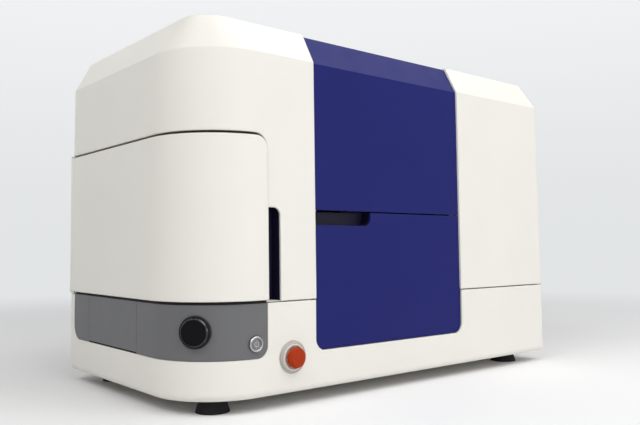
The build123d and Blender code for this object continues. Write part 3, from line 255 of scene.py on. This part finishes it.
def lathe(shape, profile, segments=96, finish=0):
    """Turns a profile of millimetre points about Z into shape; a point on the axis makes one vertex."""
    rings = []
    for r, d in profile:
        if r == 0:
            rings.append([shape.verts.new((0, 0, d * MM))])
        else:
            turns = [2 * pi * step / segments for step in range(segments)]
            rings.append([shape.verts.new((r * MM * cos(t), r * MM * sin(t), d * MM)) for t in turns])
    for low, high in zip(rings, rings[1:] + rings[:1]):
        if len(low) == 1 and len(high) == 1:
            continue
        for step in range(segments):
            after = (step + 1) % segments
            corners = [low[step % len(low)], low[after % len(low)], high[after % len(high)],
                       high[step % len(high)]]
            face = shape.faces.new(list(dict.fromkeys(corners)))
            face.material_index = finish
            face.smooth = True


def add_piece(name, shape, place, slot, body, replaced=(), finishes=None, sharp=50):
    """Puts a finished mesh into the scene, on its body, with the finish of its slot."""
    bmesh.ops.recalc_face_normals(shape, faces=shape.faces)
    for edge in shape.edges:
        if len(edge.link_faces) == 2 and edge.calc_face_angle() > radians(sharp):
            edge.smooth = False
    mesh = bpy.data.meshes.new(name)
    shape.to_mesh(mesh)
    shape.free()
    for finish in finishes or [FINISHES[slot]]:
        mesh.materials.append(finish)
    piece = bpy.data.objects.new(name, mesh)
    piece.matrix_world = place
    bpy.context.scene.collection.objects.link(piece)
    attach(piece, body)
    if replaced:
        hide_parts(*replaced)
    return piece


def slab(shape, outline, low, high, finish=0):
    """Upright solid between two depths, from an outline of millimetre points round Z."""
    floor_ring = [shape.verts.new((x * MM, y * MM, low * MM)) for x, y in outline]
    roof_ring = [shape.verts.new((x * MM, y * MM, high * MM)) for x, y in outline]
    faces = [shape.faces.new(floor_ring[::-1]), shape.faces.new(roof_ring)]
    for step in range(len(outline)):
        after = (step + 1) % len(outline)
        faces.append(shape.faces.new((floor_ring[step], floor_ring[after], roof_ring[after],
                                      roof_ring[step])))
    for face in faces:
        face.material_index = finish


def arc_band(middle, width, start, end, steps=16):
    """Outline of a curved band, angles in degrees from the X axis."""
    turns = [radians(start + (end - start) * step / steps) for step in range(steps + 1)]
    outer = [((middle + width / 2) * cos(t), (middle + width / 2) * sin(t)) for t in turns]
    inner = [((middle - width / 2) * cos(t), (middle - width / 2) * sin(t)) for t in turns]
    return outer + inner[::-1]


# ---------------------------------------------------------------- controls

# Profiles are lists of (radius, depth, corner radius) in millimetres, depth 0 at the housing's face.
CORNER_RADIUS = 124.0
KNOB_HEIGHT = 132.0
KNOB_ANGLE = radians(42)
KNOB_RADIUS = 23
KNOB_FACE_RADIUS = 20.4
KNOB_FACE = 8.0
BEZEL_RADIUS = 26
STOP_FACE = 16.5
STOP_UNDER = 7.0
STOP_RADIUS = 17
COLLAR_RADIUS = 26.5
COLLAR_BORE = 18.6
COLLAR_DEPTH = 6
DISH_BORE = 6.2
FLANK_SHADE_RADIUS = 22.4
ARROW_MIDDLE = 10.2
ARROW_WIDTH = 1.1
ARROW_HEAD = 1.6
ARROW_SWEEP = 80
ARROW_POINT = 98
ARROW_ROOT, ARROW_TOP = 15.9, 16.36
MARK_ROOT, MARK_TOP = 1.9, 2.25
RING_BORE = 9.55
RING_RADIUS = 12.5
RING_BARREL = 11
NUT_BORE = 11.02
FINE_STEPS = 72
SHAFT_BORE_RADIUS = 3.4

housing_low, housing_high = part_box("base_housing")
front_y = housing_low.y / MM
left_side = housing_low.x / MM
base_top = housing_high.z / MM
corner_centre = (left_side + CORNER_RADIUS, front_y + CORNER_RADIUS)
knob_outwards = (-cos(KNOB_ANGLE), -sin(KNOB_ANGLE), 0)

stop_low, stop_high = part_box("stop_button_cap")
power_low, power_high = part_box("power_button_cap")
stop_place = facing(((stop_low.x + stop_high.x) / 2 / MM, front_y, (stop_low.z + stop_high.z) / 2 / MM),
                    (0, -1, 0))
power_place = facing(((power_low.x + power_high.x) / 2 / MM, front_y,
                      (power_low.z + power_high.z) / 2 / MM), (0, -1, 0))
knob_place = facing((corner_centre[0] + CORNER_RADIUS * knob_outwards[0],
                     corner_centre[1] + CORNER_RADIUS * knob_outwards[1], KNOB_HEIGHT), knob_outwards)


def stop_cap():
    """Mushroom cap with a crowned face, a soft edge and two raised release arrows."""
    shape = bmesh.new()
    lathe(shape, softened([(0, STOP_UNDER, 0), (STOP_RADIUS, STOP_UNDER, 0.8), (STOP_RADIUS, 14.0, 1.6),
                           (14.6, 16.1, 1.6), (7, 16.42, 4), (0, STOP_FACE - 0.05, 0)]))
    for start in (25, 205):
        slab(shape, arc_band(ARROW_MIDDLE, ARROW_WIDTH, start, start + ARROW_SWEEP), ARROW_ROOT, ARROW_TOP)
        root = radians(start + ARROW_SWEEP)
        tip = radians(start + ARROW_POINT)
        head = [(ARROW_MIDDLE + side * ARROW_HEAD, root) for side in (-1, 1)] + [(ARROW_MIDDLE, tip)]
        slab(shape, [(r * cos(t), r * sin(t)) for r, t in head], ARROW_ROOT, ARROW_TOP)
    add_piece("stop_cap_detail", shape, stop_place, "red_cap", "stop_cap", ["stop_button_cap"])


def stop_collar():
    """Collar with a sloping flank and a shallow dish round the stem; the flank has a darker finish, painted
    shade round the cap.
    """
    shape = bmesh.new()
    lathe(shape, softened([(COLLAR_BORE, 0, 0), (COLLAR_RADIUS, 0, 0), (COLLAR_RADIUS, 0.8, 0.4),
                           (22.6, 5.9, 2.2), (19.4, COLLAR_DEPTH, 1.0), (18.4, 2.35, 0.3),
                           (DISH_BORE, 2.3, 0), (DISH_BORE, 2.1, 0), (COLLAR_BORE, 2.1, 0)]))
    # Faces beyond this radius take the darker flank finish: painted shade.
    for face in shape.faces:
        if Vector(face.calc_center_median().xy).length > FLANK_SHADE_RADIUS * MM:
            face.material_index = 1
    add_piece("stop_collar_detail", shape, stop_place, "collar", "housing", ["stop_button_collar"],
              [FINISHES["collar"], COLLAR_FLANK_SHADE])


def surface_depth(x):
    """How far the rounded corner falls behind the knob's own plane at x to the side."""
    return sqrt(CORNER_RADIUS ** 2 - x ** 2) - CORNER_RADIUS


def knob_bezel():
    """Flange that sits on the rounded corner, and the cup behind it."""
    shape = bmesh.new()
    bore = KNOB_RADIUS + 0.4
    lathe(shape, softened([(bore, 0, 0), (BEZEL_RADIUS, 0, 0), (BEZEL_RADIUS, 2.4, 0.8), (bore, 3, 0.5)]))
    for vertex in shape.verts:
        if vertex.co.z < 0.05 * MM:
            vertex.co.z = surface_depth(vertex.co.x / MM) * MM
    cup = ((SHAFT_BORE_RADIUS, -9), (bore + 0.2, -9), (bore + 0.2, -1), (bore, -1), (bore, -7),
           (SHAFT_BORE_RADIUS, -7))
    lathe(shape, [Vector(point) for point in cup])
    add_piece("knob_bezel_detail", shape, knob_place, "black_plastic", "housing", ["knob_bezel"])


def knob():
    """Dead-black face inside a polished bevel, which a pointer notch breaks at the top."""
    shape = bmesh.new()
    lathe(shape, softened([(3, -6.5, 0), (KNOB_RADIUS, -6.5, 0), (KNOB_RADIUS, 5.2, 0.5), (20.8, 7.6, 0.5),
                           (20.3, KNOB_FACE, 0.15), (0, KNOB_FACE, 0), (0, 5, 0), (3, 5, 0)]))
    for face in shape.faces:
        middle = face.calc_center_median()
        if Vector(middle.xy).length > KNOB_FACE_RADIUS * MM and middle.z > 4.0 * MM:
            face.material_index = 1
    slab(shape, [(-1.1, 20.6), (1.1, 20.6), (1.1, 23.05), (-1.1, 23.05)], 3.5, 7.9)
    add_piece("control_knob_detail", shape, knob_place, "knob_black", "control_knob", ["control_knob"],
              [FINISHES["knob_black"], GLOSS_BLACK])


def power_ring():
    """Bezel with two bevels, its barrel and the locknut behind the band."""
    shape = bmesh.new()
    lathe(shape, softened([(RING_BORE, -6, 0), (RING_BORE, 2.2, 0.2), (10.2, 3.0, 0.3), (11.7, 3.0, 0.5),
                           (RING_RADIUS, 2.0, 0.3), (RING_RADIUS, 0.8, 0), (RING_BARREL, 0.8, 0),
                           (RING_BARREL, -30, 0), (0, -30, 0), (0, -6, 0)]), FINE_STEPS)
    seat = ((NUT_BORE, 0), (13, 0), (13, 1.0), (12.3, 1.5), (NUT_BORE, 1.5))
    lathe(shape, [Vector(point) for point in seat], FINE_STEPS, 1)
    locknut = ((NUT_BORE, -10), (13.4, -10), (13.4, -6), (NUT_BORE, -6))
    lathe(shape, [Vector(point) for point in locknut], 6)
    add_piece("power_ring_detail", shape, power_place, "steel", "housing", ["power_button_ring"],
              [RING_STEEL, FINISHES["black_rubber"]], sharp=35)


def power_cap():
    """Button face with an etched ring and the plain on-off mark."""
    shape = bmesh.new()
    lathe(shape, softened([(0, -4, 0), (9.25, -4, 0), (9.25, 2.3, 0.5), (7.6, 2.3, 0.3), (7.2, 2.0, 0.2),
                           (0, 2.0, 0)]), FINE_STEPS)
    slab(shape, arc_band(3.9, 0.9, 128, 412, 30), MARK_ROOT, MARK_TOP, 1)
    slab(shape, [(-0.45, 1.4), (0.45, 1.4), (0.45, 5.2), (-0.45, 5.2)], MARK_ROOT, MARK_TOP, 1)
    add_piece("power_cap_detail", shape, power_place, "button_grey", "power_button", ["power_button_cap"],
              [FINISHES["button_grey"], RING_STEEL], sharp=35)


# ---------------------------------------------------------------- black strips in the gaps, painted shade

# Black strips laid in the gaps below the door and the drawer front are painted shade, not parts of the
# object.
SHADE_STRIP_OUTSIDE = 0.7
SHADE_STRIP_INSIDE = 3.8
DOOR_SHADE_STRIP_REAR = 216
DOOR_SHADE_STRIP_FRONT = -322
DOOR_SHADE_STRIP_HEIGHT = 4.4
DRAWER_SHADE_STRIP_HEIGHT = 2.6
DRAWER_SHADE_STRIP_DROP = 3
EASE_SHARE = 0.2
EASE_DROP = 0.6


def corner_path(inset, y_start, x_end, steps=24):
    """Plan line along the left side, round the big corner and onto the front."""
    reach = CORNER_RADIUS - inset
    turns = [pi + pi / 2 * step / steps for step in range(steps + 1)]
    bend = [(corner_centre[0] + reach * cos(t), corner_centre[1] + reach * sin(t)) for t in turns]
    return [(left_side + inset, y_start)] + bend + [(x_end, front_y + inset)]


def shade_strip(name, outer, inner, low, high, body):
    """Black strip between two plan lines, its outer top edge eased: painted shade that darkens a gap."""
    shape = bmesh.new()
    rows = []
    for out, into in zip(outer, inner):
        eased = [here + (there - here) * EASE_SHARE for here, there in zip(out, into)]
        section = ((*out, low), (*out, high - EASE_DROP), (*eased, high), (*into, high), (*into, low))
        rows.append([shape.verts.new(Vector(point) * MM) for point in section])
    for near, far in zip(rows, rows[1:]):
        for step in range(len(near)):
            after = (step + 1) % len(near)
            shape.faces.new((near[step], near[after], far[after], far[step]))
    shape.faces.new(rows[0])
    shape.faces.new(rows[-1][::-1])
    add_piece(name, shape, Matrix.Identity(4), "black_rubber", body)


def gap_shades():
    """Black strips under the wrap-around door and along the foot of the drawer's front: painted shade in
    these gaps.
    """
    insets = (SHADE_STRIP_OUTSIDE, SHADE_STRIP_INSIDE)
    door_lines = [corner_path(inset, DOOR_SHADE_STRIP_REAR, DOOR_SHADE_STRIP_FRONT) for inset in insets]
    shade_strip("door_gap_painted_shade", *door_lines, base_top, base_top + DOOR_SHADE_STRIP_HEIGHT, "housing")
    drawer_low, drawer_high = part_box("drawer_front")
    ends = (drawer_high.y / MM, drawer_low.y / MM)
    ledge = drawer_low.z / MM - DRAWER_SHADE_STRIP_DROP
    drawer_lines = [[(left_side + inset, y) for y in ends] for inset in insets]
    shade_strip("drawer_gap_painted_shade", *drawer_lines, ledge, ledge + DRAWER_SHADE_STRIP_HEIGHT, "housing")


stop_cap()
stop_collar()
gap_shades()
knob_bezel()
knob()
power_ring()
power_cap()

# ---------------------------------------------------------------- small details

SCREW_INSET = 20
SCREW_SOCKET = 1.45
RIB_STEPS = 120
RIB_DEPTH = 0.035
VALVE_HALF_WIDTH = 14
GRADUATIONS = 13
GRADUATION_PITCH = 4.5
GRADUATION_RISE = 8
GRADUATION_RADIUS = 9.13
LONG_SWEEP, SHORT_SWEEP = 44, 26
WELL_PITCH = 9
WELL_COLUMNS, WELL_ROWS = 8, 12
WELL_DEPTH = 10.7
WELL_MOUTH, WELL_FOOT = 3.4, 3.2
SKIRT_HEIGHT = 3.6
SKIRT_STEP = 3
NEAR_ENOUGH = 0.01 * MM

rear_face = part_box("rear_panel")[1].y / MM


def moved(shape, known, shift):
    """Shifts the vertices that were added after known."""
    fresh = [vertex for vertex in shape.verts if vertex not in known]
    bmesh.ops.translate(shape, verts=fresh, vec=Vector(shift) * MM)


def socket_screw(shape, x, y):
    """Button head with a hexagon socket, standing on the piece's own XY plane."""
    known = set(shape.verts)
    head = ((0, 0), (3.4, 0), (3.4, 0.4), (2.7, 1.3), (1.75, 1.7), (SCREW_SOCKET, 1.7), (SCREW_SOCKET, 0.6),
            (0, 0.6))
    lathe(shape, [Vector(point) for point in head], 24)
    for vertex in shape.verts:
        reach = vertex.co.xy.length / MM
        if vertex not in known and 0.1 < reach < 1.5:
            turn = atan2(vertex.co.y, vertex.co.x) % (pi / 3) - pi / 6
            vertex.co.xy = vertex.co.xy.normalized() * SCREW_SOCKET * MM * cos(pi / 6) / cos(turn)
    moved(shape, known, (x, y, 0))


def rear_screws():
    """Screws round the edge of the rear panel."""
    low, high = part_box("rear_panel")
    left, right = low.x / MM + SCREW_INSET, high.x / MM - SCREW_INSET
    bottom, top = low.z / MM + SCREW_INSET, high.z / MM - SCREW_INSET
    spots = [(left + (right - left) * share / 4, z) for share in range(5) for z in (bottom, top)]
    spots += [(x, bottom + (top - bottom) * share / 3) for share in (1, 2) for x in (left, right)]
    shape = bmesh.new()
    for x, z in spots:
        socket_screw(shape, -x, z)
    add_piece("rear_panel_screws", shape, facing((0, rear_face, 0), (0, 1, 0)), "steel", "housing", sharp=35)


def ribbed_caps():
    """Screw caps with a soft top edge and a ribbed grip."""
    low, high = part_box("bottle_caps")
    radius = (high.x - low.x) / MM / 2
    height = (high.z - low.z) / MM
    profile = [(0, 0, 0), (radius, 0, 0.4), (radius, height - 3, 0), (radius - 0.9, height - 2.6, 0),
               (radius - 1.2, height, 1.0), (radius - 4, height, 0), (radius - 4.4, height - 0.5, 0),
               (0, height - 0.5, 0)]
    shape = bmesh.new()
    for y in (low.y / MM + radius, high.y / MM - radius):
        known = set(shape.verts)
        lathe(shape, softened(profile), RIB_STEPS)
        for vertex in shape.verts:
            reach = vertex.co.xy.length / MM
            if vertex not in known and reach > radius - 0.5:
                rib = round(atan2(vertex.co.y, vertex.co.x) / (2 * pi / RIB_STEPS)) // 2 % 2
                vertex.co.xy *= 1 - RIB_DEPTH * rib
        moved(shape, known, ((low.x + high.x) / 2 / MM, y, low.z / MM))
    add_piece("bottle_caps_detail", shape, Matrix.Identity(4), "bottle_cap", "housing", ["bottle_caps"],
              sharp=30)


def barrel_marks():
    """Graduations round the front of both glass barrels, every fourth one longer."""
    barrels_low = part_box("syringe_barrels")[0] / MM
    shape = bmesh.new()
    for plunger in ("syringe_plunger_front", "syringe_plunger_rear"):
        low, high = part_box(plunger)
        known = set(shape.verts)
        for step in range(GRADUATIONS):
            sweep = SHORT_SWEEP if step % 4 else LONG_SWEEP
            z = barrels_low.z + GRADUATION_RISE + step * GRADUATION_PITCH
            slab(shape, arc_band(GRADUATION_RADIUS, 0.18, 180 - sweep, 180 + sweep), z, z + 0.5)
        moved(shape, known, (barrels_low.x + VALVE_HALF_WIDTH, (low.y + high.y) / 2 / MM, 0))
    add_piece("barrel_marks", shape, Matrix.Identity(4), "black_plastic", "housing")


def well(shape, x, y, top):
    """One square cell of the deck with its well, a polygon of 16 sides."""
    turns = [pi * step / 8 for step in range(16)]

    def ring(reaches, z):
        spots = [(x + reach * cos(t), y + reach * sin(t), z) for reach, t in zip(reaches, turns)]
        return [shape.verts.new(Vector(spot) * MM) for spot in spots]

    cell = ring([WELL_PITCH / 2 / max(abs(cos(t)), abs(sin(t))) for t in turns], top)
    mouth = ring([WELL_MOUTH] * 16, top)
    foot = ring([WELL_FOOT] * 16, top - WELL_DEPTH)
    for near, far in ((cell, mouth), (mouth, foot)):
        for step in range(16):
            after = (step + 1) % 16
            shape.faces.new((near[step], near[after], far[after], far[step]))
    shape.faces.new(foot)


def deck_border(shape, outline, top):
    """Fills between the field of wells and the deck's outline, with one face on each side."""
    field = (WELL_COLUMNS / 2 * WELL_PITCH * MM, WELL_ROWS / 2 * WELL_PITCH * MM)
    for step, (axis, sign) in enumerate(((1, -1), (0, 1), (1, 1), (0, -1))):
        start, end = outline[step], outline[(step + 1) % 4]
        line = [vertex for vertex in shape.verts if abs(vertex.co[axis] - sign * field[axis]) < NEAR_ENOUGH
                and abs(vertex.co.z - top * MM) < NEAR_ENOUGH
                and abs(vertex.co[1 - axis]) < field[1 - axis] + NEAR_ENOUGH]
        line.sort(key=lambda vertex: (vertex.co - end.co).length)
        shape.faces.new([start, end] + line)


def well_plate():
    """Plate of 8 by 12 wells with a stepped skirt."""
    low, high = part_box("microplate")
    middle = (low + high) / 2
    across, along, tall = (high - low) / MM
    shape = bmesh.new()
    for column in range(WELL_COLUMNS):
        for row in range(WELL_ROWS):
            well(shape, (column - (WELL_COLUMNS - 1) / 2) * WELL_PITCH,
                 (row - (WELL_ROWS - 1) / 2) * WELL_PITCH, tall)
    bmesh.ops.remove_doubles(shape, verts=shape.verts, dist=NEAR_ENOUGH)
    steps = ((SKIRT_STEP, tall), (SKIRT_STEP, SKIRT_HEIGHT), (0, SKIRT_HEIGHT), (0, 0))
    rings = []
    for inset, z in steps:
        x, y = across / 2 - inset, along / 2 - inset
        corners = ((-x, -y, z), (x, -y, z), (x, y, z), (-x, y, z))
        rings.append([shape.verts.new(Vector(corner) * MM) for corner in corners])
    for near, far in zip(rings, rings[1:]):
        for step in range(4):
            after = (step + 1) % 4
            shape.faces.new((near[step], near[after], far[after], far[step]))
    shape.faces.new(rings[-1])
    deck_border(shape, rings[0], tall)
    place = Matrix.Translation(Vector((middle.x, middle.y, low.z)))
    add_piece("microplate_detail", shape, place, SLOTS["microplate"], "plate_drawer", ["microplate"],
              sharp=30)


rear_screws()
ribbed_caps()
barrel_marks()
well_plate()

# ---------------------------------------------------------------- stage, light, camera

FLOOR_HALF_SIZE = 30.0
FLOOR_COLOUR = (0.84, 0.84, 0.84)
BACKDROP_LOW = (0.76, 0.78, 0.79)
BACKDROP_HIGH = (0.90, 0.91, 0.92)
BACKDROP_RISE = 0.45
WORLD_LIGHT = 0.23
FLOOR_NEAR = 0.9
FLOOR_FAR = 3.0


def distance_share(tree, near, far):
    """0 within near metres of the object, 1 beyond far."""
    place = tree.nodes.new("ShaderNodeTexCoord")
    length = tree.nodes.new("ShaderNodeVectorMath")
    length.operation = "LENGTH"
    tree.links.new(place.outputs["Object"], length.inputs[0])
    span = tree.nodes.new("ShaderNodeMapRange")
    span.interpolation_type = "SMOOTHSTEP"
    span.inputs["From Min"].default_value = near
    span.inputs["From Max"].default_value = far
    tree.links.new(length.outputs["Value"], span.inputs["Value"])
    return span.outputs["Result"]


def seen_by_eye(tree):
    """1 for rays from the camera, by reflection or through glass; 0 for light."""
    path = tree.nodes.new("ShaderNodeLightPath")
    total = path.outputs["Is Camera Ray"]
    for name in ("Is Glossy Ray", "Is Transmission Ray"):
        most = tree.nodes.new("ShaderNodeMath")
        most.operation = "MAXIMUM"
        tree.links.new(total, most.inputs[0])
        tree.links.new(path.outputs[name], most.inputs[1])
        total = most.outputs[0]
    return total


def product(tree, first, second):
    """First times second, as a shader value."""
    times = tree.nodes.new("ShaderNodeMath")
    times.operation = "MULTIPLY"
    tree.links.new(first, times.inputs[0])
    tree.links.new(second, times.inputs[1])
    return times.outputs[0]


def floor():
    """Pale floor that keeps the object's shadow and melts into the backdrop with distance."""
    mesh = bpy.data.meshes.new("floor")
    shape = bmesh.new()
    bmesh.ops.create_grid(shape, x_segments=1, y_segments=1, size=FLOOR_HALF_SIZE)
    shape.to_mesh(mesh)
    shape.free()
    made, tree, shader = material("floor_finish", FLOOR_COLOUR, 0.6, specular=0.2)
    drift = noise(tree, 0.8)
    tint(tree, drift.outputs["Fac"], shader, shade(FLOOR_COLOUR, 0.99), shade(FLOOR_COLOUR, 1.01))
    haze = tree.nodes.new("ShaderNodeEmission")
    haze.inputs["Color"].default_value = (*BACKDROP_LOW, 1)
    mix = tree.nodes.new("ShaderNodeMixShader")
    share = product(tree, distance_share(tree, FLOOR_NEAR, FLOOR_FAR), seen_by_eye(tree))
    tree.links.new(share, mix.inputs[0])
    tree.links.new(shader.outputs[0], mix.inputs[1])
    tree.links.new(haze.outputs[0], mix.inputs[2])
    tree.links.new(mix.outputs[0], tree.nodes["Material Output"].inputs["Surface"])
    mesh.materials.append(made)
    plane = bpy.data.objects.new("floor", mesh)
    bpy.context.scene.collection.objects.link(plane)


def world():
    """Even light from all round; the camera and reflections see the pale backdrop."""
    made = bpy.data.worlds.new("studio")
    made.use_nodes = True
    tree = made.node_tree
    tree.nodes.clear()
    out = tree.nodes.new("ShaderNodeOutputWorld")
    light = tree.nodes.new("ShaderNodeBackground")
    light.inputs["Color"].default_value = (1.0, 1.0, 1.0, 1)
    light.inputs["Strength"].default_value = WORLD_LIGHT
    seen = tree.nodes.new("ShaderNodeBackground")
    place = tree.nodes.new("ShaderNodeTexCoord")
    parts = tree.nodes.new("ShaderNodeSeparateXYZ")
    tree.links.new(place.outputs["Generated"], parts.inputs[0])
    ramp = tree.nodes.new("ShaderNodeMapRange")
    ramp.interpolation_type = "SMOOTHSTEP"
    ramp.inputs["From Min"].default_value = 0.0
    ramp.inputs["From Max"].default_value = BACKDROP_RISE
    tree.links.new(parts.outputs["Z"], ramp.inputs["Value"])
    blend = tree.nodes.new("ShaderNodeMix")
    blend.data_type = "RGBA"
    blend.inputs[6].default_value = (*BACKDROP_LOW, 1)
    blend.inputs[7].default_value = (*BACKDROP_HIGH, 1)
    tree.links.new(ramp.outputs["Result"], blend.inputs[0])
    tree.links.new(blend.outputs[2], seen.inputs["Color"])
    mix = tree.nodes.new("ShaderNodeMixShader")
    tree.links.new(seen_by_eye(tree), mix.inputs[0])
    tree.links.new(light.outputs[0], mix.inputs[1])
    tree.links.new(seen.outputs[0], mix.inputs[2])
    tree.links.new(mix.outputs[0], out.inputs["Surface"])
    bpy.context.scene.world = made


def lamp(name, place, aim, size, power):
    """Rectangular area lamp at place, turned to aim."""
    light = bpy.data.lights.new(name, "AREA")
    light.shape = "RECTANGLE"
    light.size, light.size_y = size
    light.energy = power
    holder = bpy.data.objects.new(name, light)
    bpy.context.scene.collection.objects.link(holder)
    holder.location = place
    direction = Vector(aim) - Vector(place)
    holder.rotation_euler = direction.to_track_quat("-Z", "Y").to_euler()


TARGET = (0.0, 0.0, 0.3)

CAMERA_PLACE = (-0.9912, -1.1848, 0.2646)
CAMERA_YAW = 0.6925
CAMERA_PITCH = 0.0482
CAMERA_ROLL = -0.0065
CAMERA_LENS = 39.86


def camera():
    """Camera at the angle and distance from which the object is first seen."""
    lens = bpy.data.cameras.new("camera")
    lens.lens = CAMERA_LENS
    lens.sensor_width = 36
    lens.clip_start = 0.01
    lens.clip_end = 100
    holder = bpy.data.objects.new("camera", lens)
    bpy.context.scene.collection.objects.link(holder)
    ahead = Vector((sin(CAMERA_YAW), cos(CAMERA_YAW), 0))
    side = Vector((cos(CAMERA_YAW), -sin(CAMERA_YAW), 0))
    up = Vector((0, 0, 1))
    forward = ahead * cos(CAMERA_PITCH) + up * sin(CAMERA_PITCH)
    over = up * cos(CAMERA_PITCH) - ahead * sin(CAMERA_PITCH)
    right = side * cos(CAMERA_ROLL) + over * sin(CAMERA_ROLL)
    top = over * cos(CAMERA_ROLL) - side * sin(CAMERA_ROLL)
    turn = Matrix((right, top, -forward)).transposed().to_4x4()
    holder.matrix_world = Matrix.Translation(CAMERA_PLACE) @ turn
    bpy.context.scene.camera = holder


floor()
world()
lamp("front_top", (0.2, -2.4, 3.0), TARGET, (3.0, 2.0), 40)
lamp("front_low", (0.3, -2.4, 0.5), (0.1, -0.25, 0.05), (2.2, 0.7), 10)
lamp("top_right", (0.9, -1.0, 3.2), TARGET, (3.2, 2.4), 42)
lamp("left_high", (-2.4, -0.6, 2.8), TARGET, (2.0, 1.6), 46)
lamp("front_left", (-1.6, -3.0, 2.6), TARGET, (2.4, 1.8), 9)
camera()
bpy.context.scene.view_settings.view_transform = "Standard"
